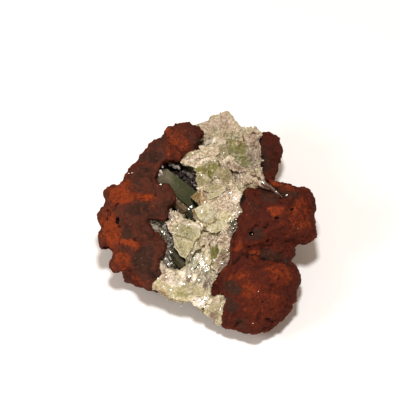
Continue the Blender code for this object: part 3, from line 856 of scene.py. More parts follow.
def dress(obj: Piece, material: Material, is_smooth: bool) -> None:
    """Gives the whole object one material and one kind of shading."""
    obj.data.materials.clear()
    obj.data.materials.append(material)
    count = len(obj.data.polygons)
    obj.data.polygons.foreach_set("material_index", np.zeros(count, np.int32))
    obj.data.polygons.foreach_set("use_smooth", np.full(count, is_smooth))
    obj.data.update()


def report(obj: Piece) -> None:
    """Logs a finished piece with its triangles."""
    obj.data.calc_loop_triangles()
    log.info("%s: %d triangles", obj.name, len(obj.data.loop_triangles))


@dataclass
class Gossan:
    """The iron-oxide stone: knobby, cracked, pitted and rust-stained, with painted shade in its cracks, pits
    and hollows and along its edges beside the vein.
    """

    face: Face
    voxel: float = 0.34
    smoothing: int = 6
    knob_size: float = 3.0
    knob_height: float = 0.4
    crust_size: float = 1.2
    crust_height: float = 0.3
    crease_size: float = 3.4
    crease_depth: float = 0.3
    grain_size: float = 0.6
    grain_height: float = 0.12
    growth: float = 0.12
    warp: float = 0.9
    warp_size: float = 2.4
    calm_size: float = 6.0
    swell: float = 0.9
    edge_shade: float = 0.9
    foot: Point2 = (0.3, 1.2)
    rust: Tuple[Patch, ...] = spots(
        (-20.2, 6.4, 2.8, 2.6), (-15, 5.8, 3.4, 1.1, -8), (-22, -1.6, 2.2, 5.6, 6, 0.95),
        (-17.2, -4.6, 2.6, 1.2, -15, 0.9), (-19.2, -9, 3, 2.2, -28, 0.8), (-19.4, 9.6, 1.4, 2.2, 40),
        (-15.6, -13.2, 2.6, 1, -35, 0.7), (-6.8, 18.2, 2.8, 4.2, 0, 0.6), (-8.8, 21, 1.4, 1.2, 0, 0.9),
        (15.6, 3, 1.6, 1.2, 0, 0.8), (21.2, 1.8, 2.8, 3.6, 0, 0.7), (7.2, -5.6, 1.6, 1.2, 0, 0.7),
        (10.4, -6.6, 2.2, 1, -10, 0.8), (16.6, -11.2, 3.6, 2.4, -25, 0.6), (10, -15, 2.2, 2.6, 0, 0.5),
        (7.2, -12, 3.2, 1.2, 20, 0.65), (13, -18, 5, 4.4, 0, 0.35), (17, 8.8, 4, 0.8, -20, 0.8),
    )
    dull: Tuple[Patch, ...] = spots(
        (-15.6, 3.1, 3.2, 1.5, 12), (-18.3, -2.1, 1.3, 1.8), (-14.4, -8, 2.8, 3.2, -15, 1.05),
        (-3, 20.8, 1.4, 1.9, 0, 0.5), (-2.6, 17.9, 1.4, 1.4, 0, 0.7), (-13, 14.9, 2.9, 1.4, 10),
        (-10.7, 18.8, 1.8, 1.2, 20, 0.9), (-14.8, 10.4, 3, 2.6, 30, 0.65), (-11.6, -0.4, 2.6, 4, 0, 0.5),
        (-9.6, 3.4, 2, 2, 0, 0.55), (-12.2, -11.4, 1.8, 1.5), (5.6, -14.6, 2.6, 1.3, -10),
        (5.4, -18.4, 1.8, 2.2, 20, 0.95), (15, -7.4, 2.8, 1, -10, 0.95), (18.6, -9, 1.4, 0.8, -40, 0.9),
        (14, 6.2, 2.2, 1.6, -20, 0.8), (18.6, 6.8, 3, 1.3, -15, 0.85), (11.2, -2.6, 2, 1.1, 10, 0.9),
        (10.6, 4, 2.4, 2, 0, 0.5), (7.4, -22.6, 1.4, 1.2, 0, 0.9), (13.2, 15, 1.6, 4.6, 0, 0.9),
        (15.6, 15.6, 2.6, 5.6, 0, 0.45),
    )
    grooves: Tuple[Groove, ...] = (
        Groove(((9.2, -1.6), (10.6, -1.3), (12.2, -0.9), (13.6, -0.5)), 0.42, 0.8),
        Groove(((6.2, -3), (6, -5.4), (5.2, -8.2), (3.6, -11), (2.4, -13)), 0.6, 0.5),
        Groove(((5, -9), (6.6, -8.4), (8.4, -7.2), (9.6, -6.4)), 0.55, 0.55),
        Groove(((9.6, -6.4), (12, -7.4), (14.4, -8.4), (17.4, -8.6), (20, -9.6)), 0.7, 0.6),
        Groove(((13.2, 8.6), (15, 7.4), (16.8, 5.6), (17.6, 4.4)), 0.4, 0.6),
        Groove(((7, -22.4), (6.4, -23.6), (6.2, -24.4)), 0.5, 0.8),
        Groove(((13.6, -21.6), (14.2, -23.2), (14.5, -24.6)), 0.5, 0.7),
        Groove(((15, -5.6), (17.2, -4.6), (19, -4.6)), 0.35, 0.3),
        Groove(((-19.6, 10), (-18.6, 8.6), (-16.6, 8), (-14.6, 7.2)), 0.5, 0.3),
        Groove(((-20.8, -1.6), (-20.2, -4), (-19, -6)), 0.45, 0.3),
        Groove(((-12.8, -9.4), (-12.6, -11.6), (-11.6, -12.8)), 0.5, 0.4),
        Groove(((-9.8, 17.2), (-8.8, 15.8), (-7, 15)), 0.4, 0.3),
        Groove(((16.4, 2), (18.2, 2.8), (19.8, 4.4), (20.6, 6)), 0.4, 0.25),
        Groove(((8, -12.2), (9.4, -14.4), (9.8, -17), (11.4, -19.2)), 0.4, 0.25),
    )
    pits: Tuple[Patch, ...] = spots(
        (-20.55, 4.45, 0.42, 0.36), (-22.5, 2.5, 0.42, 0.95, 28), (-22.9, 1.1, 0.4, 0.5),
        (-20.3, 0.6, 0.32, 0.7), (-20.3, -0.7, 0.28, 0.35), (-23.2, -5.8, 0.9, 0.55, 35),
        (-18, 11.2, 0.35, 0.3), (10.1, -2.3, 0.5, 0.5), (13.8, -4.1, 0.36, 0.32),
        (19.5, 3.3, 0.5, 0.26, 40), (15.8, 1.2, 0.36, 0.26), (14.6, 1.6, 0.22, 0.2), (17.5, 6.3, 0.5, 0.4),
        (9.6, -5.4, 0.25, 0.25), (12.6, -17.8, 0.3, 0.26), (16.2, -12.6, 0.24, 0.22),
        (-11.8, 6.2, 0.25, 0.2), (-16.4, -3.6, 0.24, 0.24), (-9, 19.6, 0.22, 0.22),
    )
    pit_depth: float = 0.75
    swelling: Tuple[Patch, ...] = spots((13.2, 15, 1.6, 6), (9.2, 6.2, 1.6, 3.4, 0, 0.9))
    # Painted shadow: near-black patches along the stone's edges where it meets the vein and the knob.
    shaded_edges: Tuple[Patch, ...] = spots(
        (8.5, 7.4, 0.8, 1.4, -10), (8.3, 5.6, 0.65, 1.4), (12.7, 13.4, 0.6, 3.4, 0, 0.7),
    )

    def build(self, node: Piece, finish: GossanFinish) -> Piece:
        """Builds the skin over the solid.

        Args:
            node: the stone's solid.
            finish: its look.

        Returns:
            The finished piece.
        """
        skin = copy_of(node, "gossan_skin")
        one_skin(skin, self.voxel, self.smoothing)
        places, normals = read_skin(skin)
        local = self.face.local(places)
        self.relieve(skin, places, normals, local)
        dress(skin, finish.make(), True)
        return skin

    def relieve(self, skin: Piece, places: Rows, normals: Rows, local: Rows) -> None:
        """Raises the knobs and grains, sinks the cracks and pits and stores the masks, with painted shade in
        the low places and a painted highlight on the raised ones.
        """
        facing = smooth(0.1, 0.5, normals @ self.face.outward())
        inner = local + self.warp * drift(local, self.warp_size, 3)
        gaps, centres = cells(inner, self.knob_size)
        knobs = (0.45 - (gaps[:, 0] / (0.72 * self.knob_size)) ** 2) * self.knob_height
        knobs *= 0.5 + dice_at(centres, 1.0)
        crust = rough(inner, self.crust_size)
        fine_gaps, _ = cells(local, self.grain_size)
        grain = (0.5 - fine_gaps[:, 0] / self.grain_size) * 2.0 * self.grain_height
        creased = smooth(0.10, 0.0, np.abs(rough(inner + 80.0, self.crease_size, 4)))
        creased *= smooth(-0.1, 0.35, rough(local + 120.0, self.calm_size, 2))
        height = knobs + crust * self.crust_height + grain + self.growth - creased * self.crease_depth
        height += self.swell * most_of(self.swelling, local)
        # Painted shade, near black, along the shadowed edges and, below, in the grooves.
        shade_cover = self.edge_shade * most_of(self.shaded_edges, local)
        for groove in self.grooves:
            cover = groove.cover(inner) * facing
            height -= cover * groove.depth
            shade_cover = np.maximum(shade_cover, cover * cover * min(1.0, 1.5 * groove.depth))
        holes = most_of(self.pits, local) * facing
        height -= holes * self.pit_depth
        low = smooth(*self.foot, places[:, 2] / MM)
        moved = places + normals * (height * (0.25 + 0.75 * low))[:, None] * MM
        moved[:, 2] = np.maximum(moved[:, 2], 0.0)
        write_skin(skin, moved)
        # Painted shade: the pits, grooves, shadowed edges and low places between the knobs are stored to be
        # darkened.
        hollow = np.maximum(smooth(0.1, -0.5, crust + 1.2 * knobs), creased)
        write_mask(skin, "crevice", np.maximum(np.maximum(holes, shade_cover), 0.38 * hollow))
        # Painted highlight: the raised crust is painted more rusty and less dull, so that it comes out
        # lighter.
        raised = smooth(0.0, 0.5, crust)
        write_mask(skin, "brown", smooth(2.0, -7.0, inner[:, 0]) * facing + 0.5 * (1.0 - facing))
        rust, dull = most_of(self.rust, inner) * facing, most_of(self.dull, inner) * facing
        write_mask(skin, "rust", rust + 0.35 * (1.0 - facing) + 0.25 * raised)
        write_mask(skin, "dull", dull + 0.25 * (1.0 - facing) - 0.2 * raised)


class Front:
    """A solid as it is met from in front, in the face's own frame.

    Rays start this far above the face, and nothing is the height where none of them meets it. A plane is
    fitted without the places that stray further than this, and is never steeper than steepest.
    """

    above: float = 60.0
    nothing: float = -50.0
    stray: float = 1.6
    steepest: float = 0.7

    def __init__(self, face: Face, *solids: Piece) -> None:
        """Takes one or more solids as they stand."""
        bm = bmesh.new()
        for solid in solids:
            bm.from_mesh(solid.data)
        bmesh.ops.transform(bm, matrix=face.matrix().inverted(), verts=bm.verts[:])
        self.tree = BVHTree.FromBMesh(bm)
        self.face = face
        bm.free()

    def height(self, a: float, b: float) -> Optional[float]:
        """The c at which the solid is first met at a and b, if it is met."""
        hit = self.tree.ray_cast(Vector((a, b, self.above)), Vector((0.0, 0.0, -1.0)))[0]
        return None if hit is None else hit.z

    def near(self, places: Rows, reach: float) -> Rows:
        """Whether each place on the table is within this reach of the solid, in millimetres."""
        found = [self.tree.find_nearest(place, reach)[0] for place in self.face.local(places).tolist()]
        return np.array([place is not None for place in found], float)

    def grid(self, low: Rows, size: Rows, cell: float) -> Rows:
        """The heights over a grid of places, very low where nothing is met.

        Args:
            low: the a and b of its first place.
            size: how many places it has along a and b.
            cell: the gap between them, in millimetres.

        Returns:
            One row of heights along b for each a.
        """
        across, up = (range(count) for count in size)
        rows = [[self.height(low[0] + cell * i, low[1] + cell * j) for j in up] for i in across]
        return np.array([[self.nothing if height is None else height for height in row] for row in rows])

    def plane(self, shard: Shard) -> Rows:
        """The mean plane of the solid under a shard.

        Args:
            shard: the shard that is to lie on it.

        Returns:
            The slopes along a and b, and the c at the shard's middle.
        """
        outline = np.array(shard.host or shard.outline)
        middle = outline.mean(axis=0)
        spokes = outline - middle
        probes = np.concatenate([spokes * share for share in (0.0, 0.3, 0.6, 0.85)])
        found = [(a, b, self.height(a + middle[0], b + middle[1])) for a, b in probes]
        rows = np.array([row for row in found if row[2] is not None])
        rows = rows[np.abs(rows[:, 2] - np.median(rows[:, 2])) < self.stray]
        known = np.column_stack([rows[:, :2], np.ones(len(rows))])
        slope_a, slope_b, height = np.linalg.lstsq(known, rows[:, 2], rcond=None)[0]
        slopes = np.clip((slope_a, slope_b), -self.steepest, self.steepest)
        height += slopes @ (shard.middle() - middle)
        return np.array((*(slopes if shard.level is None else shard.level), height))


def without_gaps(heights: Rows, reach: int) -> Rows:
    """The heights with each dip filled that is narrower than twice this many cells."""
    for pick in (np.maximum, np.minimum):
        for _ in range(reach):
            for other in beside(heights):
                heights = pick(heights, other)
    return heights


def combine(obj: Piece, others: Sequence[Piece], operation: str) -> None:
    """Joins the other solids to the object, or cuts them out of it, and removes them."""
    for other in others:
        join = obj.modifiers.new("join", "BOOLEAN")
        join.operation = operation
        join.solver = "MANIFOLD"
        join.object = other
        apply_modifiers(obj)
        bpy.data.objects.remove(other)


def refine(obj: Piece, longest: float) -> None:
    """Splits the edges that are longer than this, in millimetres, so that the skin can carry relief."""
    bm = bmesh.new()
    bm.from_mesh(obj.data)
    bmesh.ops.triangulate(bm, faces=bm.faces[:])
    for _ in range(7):
        long_edges = [edge for edge in bm.edges if edge.calc_length() > longest * MM]
        if not long_edges:
            break
        bmesh.ops.subdivide_edges(bm, edges=long_edges, cuts=1)
        bmesh.ops.triangulate(bm, faces=[face for face in bm.faces if len(face.verts) > 3])
    bm.to_mesh(obj.data)
    bm.free()


BIG_PLATE: Tuple[Point2, ...] = (
    (-2.8, 3.1), (-1.6, 3.8), (0.4, 4.8), (2, 5.7), (5.2, 7.9), (6.6, 8.7), (7.7, 6.9), (8, 4.2),
    (6.6, 1.4), (5.6, 0), (3.6, -1.4), (2, -2.3), (-0.4, -1.6), (-1.1, 0.1), (-2, 1.3),
)
FAN: Tuple[Point2, ...] = (
    (-8.4, 3), (-7.6, 2.5), (-7.2, 2.8), (-5.8, 1.8), (-5.2, 0.8), (-3, 0.2), (-1.4, -0.8), (-1.6, -2.6),
    (-3, -4.4), (-5.1, -3.6), (-7.8, -2.8), (-8.4, -1.9), (-9.4, 0), (-8.4, 0.6), (-8, 1.6),
)
SHARDS: Tuple[Shard, ...] = (
    # The far top: one big broken plate, its golden right edge and the flank that faces the knob.
    Shard(((-2.4, 22.8), (-1.2, 23.2), (0.4, 23.6), (0.8, 24.6), (2.2, 25), (4.3, 26), (4.8, 25.9),
        (8.2, 21.8), (6.6, 20.4), (3.8, 21), (1.4, 20.2), (-0.4, 20.7)), rise=0.7, depth=3.2),
    Shard(((3.6, 21.3), (6.4, 20.8), (8.2, 21.6), (9, 19.6), (6.8, 18.6), (4.2, 19.2)),
        tone=Tone.GOLDEN, rise=0.6),
    Shard(((8.1, 21.4), (9.4, 20.6), (11.9, 20.5), (11.9, 16), (12.2, 10.9), (11.3, 11.6), (10, 15.6),
        (8.8, 18.8)), tone=Tone.GREY, rise=-0.1, tilt=(-0.35, -0.1), depth=3),
    # Cream lumps under it.
    Shard(((-1.5, 18.9), (-0.3, 20.6), (1.5, 20.1), (2.2, 18.4), (0.6, 17.3), (-1.2, 17.6)), rise=0.9,
        tilt=(0.1, 0.1)),
    Shard(((1.2, 20.1), (3.8, 20.8), (4.6, 19), (3.9, 17.6), (2, 17.9)), rise=1.1, tilt=(-0.1, 0)),
    Shard(((-1.8, 17.6), (0.8, 17.5), (2.4, 18), (3, 16.2), (1.6, 15), (-1, 15.6)), rise=0.8,
        tilt=(0.1, 0.2)),
    crystal(((2.6, 17.9), (4.4, 18), (5.2, 16.4), (4.8, 14.8), (3.2, 14.6), (2.6, 16)), Tone.PALE, 0.9,
        (0, 0.2), 3),
    # The bright olive crystal on the right of them.
    crystal(((4.7, 19.2), (6.6, 18.9), (8.5, 18.8), (9.9, 16.7), (8.6, 15.4), (5.6, 15.6), (5, 17.4)),
        Tone.OLIVE, 0.7, (0.05, 0.1), 3),
    crystal(((5.4, 15.8), (8.7, 15.6), (10, 16.6), (11.2, 13.5), (11.2, 11.7), (9.4, 12.5), (7.6, 13.6),
        (5.6, 14.8)), Tone.OLIVE, 0.5, (-0.25, 0.3), 3),
    # The powdery ridge over the hollow.
    Shard(((-5.9, 14), (-4.3, 15.3), (-2.9, 15.4), (-1.5, 16), (0.4, 15.4), (1.9, 14.9), (2.6, 14.1),
        (0.4, 13.6), (-2.4, 12.8), (-4.6, 13.4)), rise=0.9, tilt=(0, 0.3), depth=2.4, lean=(0.3, 0.9)),
    crystal(((-5.6, 13.9), (-4.4, 13.4), (-2.4, 12.9), (-2.2, 12), (-3.9, 11.9)), Tone.OLIVE, -0.1,
        (0.1, 0.5), 2.4, (0.5, 0.4)),
    # The smooth olive crystals in the middle.
    crystal(((-0.5, 13.6), (2.5, 14), (2.6, 12.6), (1.9, 11.2), (1, 9.6), (-0.2, 10.8), (0.2, 12.2)),
        Tone.OLIVE, 0.6, (0.1, 0.2), 2.8, (0.4, 0.5)),
    crystal(((-3.2, 12.4), (-1.6, 13.1), (-0.3, 13.4), (0.3, 12.1), (-0.1, 10.9), (-1.8, 11.2)),
        Tone.OLIVE, 0.2, (0.3, 0.2), 2.8, (0.4, 0.5)),
    crystal(((-2.6, 10.2), (-1.9, 11.2), (-0.2, 11.1), (1, 9.8), (0.6, 8.9), (-0.8, 8.4), (-2.1, 8.2)),
        Tone.PALE, 0.3, (0.35, 0.2), 2.8, (0.6, 0.5), ((-0.6, 10, 0.4),)),
    crystal(((1.8, 11.4), (2.4, 12.6), (3.4, 12.9), (4.6, 12.8), (5.9, 10.7), (5.2, 9.4), (3.4, 9.7)),
        Tone.PALE, 0.9, (0, 0.25), 2.8, (0.3, 0.5), ((3.6, 11.6, 0.35),)),
    # The band that runs down to the right, and the corner where the thin sheet starts.
    Shard(((2.5, 14.3), (4.4, 14.6), (7.4, 13.4), (9.3, 12.2), (7.4, 11.4), (4.8, 12.7), (3.4, 13.1)),
        rise=0.8, tilt=(0, 0.3)),
    Shard(((5.9, 12.3), (7.6, 11.6), (9.6, 12.2), (11.6, 11), (11.6, 9.6), (8, 9.4), (6, 10.6)),
        rise=0.9, tilt=(0.1, 0.2)),
    Shard(((6.4, 10.3), (9.8, 9.8), (12.6, 9.8), (13.4, 8.7), (10.6, 7.9), (9, 7.8), (7.4, 8.3)),
        rise=0.7, tilt=(0, 0.1), depth=3.5),
    Shard(((12, 9.8), (13.8, 8.9), (14.8, 7.9), (14.2, 7.4), (12.6, 7.9), (11.8, 8.6)), rise=0.2,
        tilt=(0, 0.1), depth=3),
    crystal(((13, 9.2), (14.8, 8.1), (16.2, 6.9), (17.15, 5.95), (17.05, 5.8), (16.05, 6.75),
        (14.65, 7.9), (12.9, 9)), Tone.GREY, 0.15, depth=1.2),
    # The yellow pair over the wedge, and the golden wedge.
    crystal(((-1, 7.6), (0.2, 8.6), (1.7, 9.2), (3.7, 8.7), (2.4, 7.6), (0.5, 6.9)), Tone.PALE, 1,
        (0, 0.2), 2.2),
    crystal(((0.3, 6.9), (2.4, 7.7), (3.9, 8.6), (4.6, 8.2), (3, 6.4), (0.5, 5.3), (0.1, 5.8)),
        Tone.PALE, 0.6, (0.25, -0.25), 2.4),
    Shard(((3.4, 9.6), (5.2, 9.5), (6.4, 8.8), (5.2, 7.7), (3.6, 7.1), (3.6, 8.6)), tone=Tone.GOLDEN,
        rise=0.6, tilt=(0, 0.1)),
    crystal(((-3.85, 6.1), (-2.4, 7.2), (-1.1, 7.75), (-1.25, 6.4), (-1.45, 5), (-1.2, 3.95),
        (-1.8, 3.85)), Tone.GOLDEN, -0.1, (0.45, 0), 2.6, (1.6, 0.8)),
    crystal(((-1.25, 7.75), (-0.9, 7.6), (0.4, 5.9), (0.2, 4.7), (-1.3, 3.95), (-1.55, 5),
        (-1.35, 6.4)), Tone.GOLDEN, 0.3, (-0.25, 0.15), 2.6),
    # The big plate: powdery on the upper right, clear on the lower left with an amber edge.
    Shard(BIG_PLATE, rise=0.4, tilt=(-0.06, 0.12), depth=2.2, lean=(0.7, 0.3)),
    crystal(((-2.9, 3.2), (-1.5, 3.95), (0.2, 4.7), (1.6, 3.2), (3.4, 0.8), (2.6, -1.9), (-0.2, -1.5),
        (-1, 0.1), (-2, 1.3)), Tone.PALE, 0.5, (-0.06, 0.12), 1.2, host=BIG_PLATE),
    crystal(((-3.45, 3.05), (-2.8, 3.2), (-1.9, 1.3), (-0.9, 0), (-0.2, -1.6), (-0.9, -1.6),
        (-2.2, -0.2), (-3, 1.2)), Tone.GOLDEN, 0.2, depth=2.2, lean=(0.6, 0.2), host=BIG_PLATE,
        level=(0.7, -0.1)),
    # The fan: powdery and ragged above, smooth and pointed below.
    Shard(FAN, rise=0.6, depth=2),
    Shard(((-8.3, 2.8), (-7.5, 2.3), (-6.6, -0.8), (-7.6, -0.6)), rise=0.85, depth=1.6, host=FAN),
    Shard(((-7, 2.6), (-6, 1.8), (-4.8, -0.8), (-6, -0.6)), rise=0.8, depth=1.6, host=FAN),
    Shard(((-9.3, 0), (-8.2, 0.5), (-6, -1.5), (-7.6, -1.9)), rise=0.85, depth=1.6, host=FAN),
    crystal(((-6.4, -0.4), (-5, 0.4), (-2.4, -0.4), (-1.6, -1.6), (-3.2, -3.6), (-5.2, -3.2),
        (-6.8, -2.4)), Tone.PALE, 0.72, depth=1.2, host=FAN),
    crystal(((-7.8, -2.9), (-5.1, -3.5), (-3, -4.4), (-3.4, -5.8), (-4, -6.6), (-4.9, -8.1),
        (-6.1, -7.3), (-7.4, -5.6)), Tone.PALE, 1.1, (0, 0.05), 2.4, (0.5, 0.9)),
    Shard(((-2, -1.4), (2, -2.2), (3.9, -1.4), (5.2, -3.2), (4.9, -4.9), (1, -5.6), (-1.6, -5.2),
        (-2.8, -4.8)), rise=0.55),
    Shard(((3.4, -1.2), (5.4, -0.1), (6.4, -0.6), (5.4, -2.6), (4.4, -2.4)), tone=Tone.GREY, rise=0.5,
        tilt=(0.2, 0)),
    # The glassy zone and the powdery strip on its right.
    Shard(((-4.8, -8.1), (-3, -5.6), (-0.6, -5.6), (-1.4, -9.6), (-3.4, -13.2), (-5, -13.2),
        (-5.8, -11)), tone=Tone.GREY, rise=-0.2),
    Shard(((-1.4, -5.5), (0.6, -5.6), (1, -9), (0.6, -11.2), (1.5, -12.4), (0.6, -15), (-1.2, -14.4),
        (-3.2, -13.4), (-1.6, -9.6)), tone=Tone.GREY, rise=0),
    crystal(((0.6, -5.4), (2.6, -5.2), (4, -5.4), (3.2, -7.2), (2.2, -8.6), (1, -8.6)), Tone.OLIVE, 0.9,
        (0.1, 0.1), 2.4),
    Shard(((3.2, -5.3), (5.1, -5), (5.1, -7.8), (4.3, -9.8), (2.2, -11.8), (1.1, -9), (2.4, -7.6)),
        rise=0.4, tilt=(-0.1, 0)),
    # The plates along the lower edge, with thin broken layers under them.
    Shard(((-10.5, -9.2), (-9.6, -10.2), (-8.2, -10.8), (-5, -13.3), (-3, -13.9), (-1.1, -14.8),
        (0.5, -16.8), (-0.4, -17.9), (-4, -17.8), (-6.4, -17.7), (-8.4, -16.9), (-10.5, -15.5),
        (-12.5, -14.4), (-10.4, -12)), rise=0.7, depth=1.4),
    Shard(((-12.6, -14.6), (-10.6, -15.7), (-8.4, -17.2), (-6, -18), (-5, -16.6), (-8, -14.4),
        (-10.2, -13)), tone=Tone.GOLDEN, rise=0, depth=1.6),
    Shard(((-12.7, -14.9), (-10.6, -16.2), (-8.6, -17.7), (-7, -18.1), (-6, -16.6), (-9, -15)),
        tone=Tone.GOLDEN, rise=-0.8, depth=1.6),
    crystal(((-7.6, -11.8), (-5.2, -13.2), (-2.6, -14.2), (-0.6, -15.2), (-1.2, -16.6), (-4.4, -16.4),
        (-7.2, -15.2)), Tone.PALE, 1, (0, 0), 1.2),
    Shard(((-4.2, -17.3), (-2.2, -16.6), (0.6, -15.9), (0.5, -16.9), (-0.2, -18.1), (-1.4, -19.4),
        (-2.6, -18.9)), rise=1.1, depth=1.8, level=(0, -0.15)),
    Shard(((-0.6, -18.9), (0.4, -17.6), (1, -17.1), (3.6, -16.5), (4.5, -16.8), (3.8, -18.6),
        (3.4, -20.4), (3.3, -22.8), (1.7, -22.3), (-0.5, -20.7)), rise=0.6, depth=2.2),
    crystal(((0.4, -18.4), (2.8, -17.9), (3, -19.4), (1.4, -20.3), (0.2, -19.8)), Tone.PALE, 0.85,
        (0.1, 0), 1.6),
)
MASKS: Dict[str, Tuple[Patch, ...]] = {
    "powder": spots(
        (4.6, 5.2, 3.6, 2.4, 35), (6.6, 3, 1.5, 2.4), (2, -3.6, 3.8, 1.1, 0, 0.9),
        (5, -2.4, 1.8, 1.8, 0, 0.8), (-7.6, 1.8, 1.3, 1.6), (-8.6, -0.2, 0.9, 1.5),
        (-5, 0.2, 2.6, 0.7, -15, 0.9), (-2.5, -0.9, 1.6, 0.8, 0, 0.8), (-7.8, -2, 0.5, 1.4, 20, 0.8),
        (-2.6, 14.4, 3.2, 1.1, 8), (2.6, 19.2, 1.4, 0.9, 0, 0.6), (-0.9, 18.6, 0.9, 0.9, 0, 0.9),
        (1.5, 22.8, 3.6, 2.2, 0, 0.9), (6.2, 22.4, 2.2, 1.4, -50, 0.7), (-9.2, -11.6, 1.6, 2.4, 30),
        (-6.6, -13.4, 2, 1, 0, 0.8), (-3.2, -15, 2.6, 0.8, -15, 0.6), (-1.4, -17.6, 2, 1.4, 0, 0.9),
        (2.4, -17.6, 1.6, 0.7, 0, 0.6), (5.6, 11.4, 3.2, 0.9, -48, 0.8), (8.6, 10.2, 2.6, 0.9, -20, 0.7),
        (3.4, -8.4, 1.6, 3, 15, 0.55), (1.6, -21.6, 1.4, 1, 0, 0.5), (3.4, -4.2, 2, 0.9),
        (4.5, -6.4, 0.8, 2.2), (3.2, -10, 2.9, 1, 53), (1, 3, 2.4, 0.7, 25, 0.6),
    ),
    "grainy": spots(
        (3.4, -4.2, 2.2, 1), (4.6, -6.4, 0.9, 2.4), (3.2, -10, 3, 1.1, 53), (5, -1.6, 1, 2),
        (7, 3.4, 0.9, 2, 0, 0.7), (-7.9, 1.4, 0.9, 1.8, 20), (-8.9, -11.6, 1, 2.4, 25, 0.7),
        (1.6, -16.9, 2.2, 0.7, 0, 0.8), (2.6, -2.9, 2.6, 0.7, 0, 0.8),
    ),
    "olive": spots(
        (8.4, 15, 2.4, 2.2, -35), (6, 17, 1.2, 1.8, 0, 0.7), (1, 12.2, 1.4, 1.6, 0, 0.85),
        (-3.2, 12.2, 1.2, 0.8, 0, 0.8), (-1.6, 10.4, 1.4, 1.2, 0, 0.6), (3.4, 15.6, 1, 1.4, 0, 0.45),
        (-4.6, -2, 2.8, 1.5, -15, 0.95), (-5.4, -5.2, 1.4, 2, 20, 0.25), (-1.2, 1.4, 1.4, 1.6, 0, 0.5),
        (2.5, -1.5, 0.9, 1, -40, 0.75), (1.8, 0.6, 1, 1, 0, 0.5), (1.6, -6.5, 1.3, 0.8),
        (3.4, -6.3, 0.8, 0.6, 0, 0.8), (-5.4, -16.2, 2, 0.9, 0, 0.6), (-1.6, -16.4, 1.2, 0.5, 0, 0.5),
    ),
    "golden": spots(
        (7, 19, 2.2, 1.4, -50, 0.75), (4.6, 20, 2.2, 1, -30, 0.4), (3.6, 8.4, 2.2, 1.4, 0, 0.4),
        (-10.4, -15.6, 2.6, 0.6, -35, 0.8), (-6.8, -17.9, 2.4, 0.4, -10, 0.8),
        (1.4, -19.4, 1.2, 0.7, 0, 0.7), (10.4, 11.6, 2, 0.8, -25, 0.6), (-1, -5.3, 0.5, 0.45),
        (0.4, -5.2, 0.4, 0.35), (0.5, -2.8, 0.3, 0.25), (2.6, 5.6, 2.4, 0.3, 28, 0.9),
    ),
    "grey": spots(
        (-2.1, -9.8, 2.3, 3.8, 15), (-0.4, -12.6, 1.8, 2.4, 0, 0.8), (10.6, 14.6, 0.9, 3.6, 15, 0.7),
    ),
    "rosy": spots(
        (11, 16.8, 2.4, 5.4, 4), (3.4, -9, 1.6, 3.2, 20, 0.8), (4.2, 24.4, 1.2, 1, -40, 0.8),
        (-7.6, 1.2, 1, 1.2, 0, 0.45), (0.2, -13.6, 1, 1.6, 0, 0.8), (13.5, 8.9, 2.4, 0.9, -30, 0.9),
        (16, 6.8, 1.6, 0.6, -45, 0.9), (9, 11, 2.4, 1, -30, 0.5), (1.4, -21.2, 1.6, 1.2, 0, 0.8),
        (3, 23, 3.6, 1.8, 0, 0.5), (6.4, 19.6, 2.6, 1, -50, 0.6), (6, 11.4, 3.4, 0.5, -48, 0.8),
        (6.6, 13, 3.2, 0.7, -28, 0.8), (11.6, 8.7, 1.4, 0.7, -15, 0.9),
    ),
    # Milky white crystal on top; the patches in the glassy zone and on the lower plate are painted
    # highlights.
    "milky": spots(
        (2, 19, 2.4, 1), (-1, 18.6, 0.8, 1.2), (-2.2, 14.5, 2.6, 0.8, 8, 0.9), (-1.3, -17.8, 2.2, 1.2),
        (-4.4, -12, 1.9, 1.6, -30), (-1.6, -8.6, 0.7, 1.8, 10), (-0.2, -10.2, 0.8, 0.8),
        (-8.8, -11, 0.6, 2.4, 20, 0.9), (-7.2, -13.2, 1.9, 1.3), (1.2, -19.5, 1.2, 0.8, 0, 0.5),
        (6.4, 5.6, 0.9, 1.8, -30, 0.7), (-7.6, 0.6, 0.5, 1.6, 10, 0.4), (-3.4, -0.4, 2.4, 0.4, -15, 0.9),
        (4.4, 14.6, 0.5, 1.2, -30, 0.6), (-5.4, -3.9, 2.4, 0.25, -8, 0.8), (2, 22.9, 0.7, 0.25, -45, 0.8),
        (1.8, 21.4, 0.6, 0.25, -45, 0.6), (9.2, 18.3, 0.4, 0.3), (10.1, 16.9, 0.3, 0.5, 20),
        (6.2, 15.9, 0.4, 0.25, 30), (4.8, 18.3, 0.5, 0.3, -40), (-3.9, -11.2, 1.4, 1.5, 0, 0.55),
    ),
    "rusty": spots(
        (14.5, 7.8, 2.4, 0.9, -36), (16.2, 6.4, 2.4, 1.2, -42), (12.4, 8, 1.6, 0.4, -15, 0.9),
        (11, 10.7, 1.5, 0.3, -25), (10.8, 21.1, 2.2, 0.45), (6.9, 11.5, 0.5, 0.25, 0, 0.8),
        (4.8, 9.07, 0.3, 0.22), (-0.7, -5.1, 0.45, 0.3), (0.6, -5, 0.3, 0.3),
    ),
    # Dark druse in the seams; the first patch, on the flank by the knob, is painted shade.
    "dark": spots(
        (11.2, 16.4, 1.7, 5, 0, 0.4), (13, 8.8, 1.6, 0.7, -25, 0.4), (5.8, -1.2, 1.1, 2.3, -12),
        (7.6, 4.4, 0.4, 1, 0, 0.9), (4.2, -16.8, 0.7, 0.6, 0, 0.9),
    ),
}


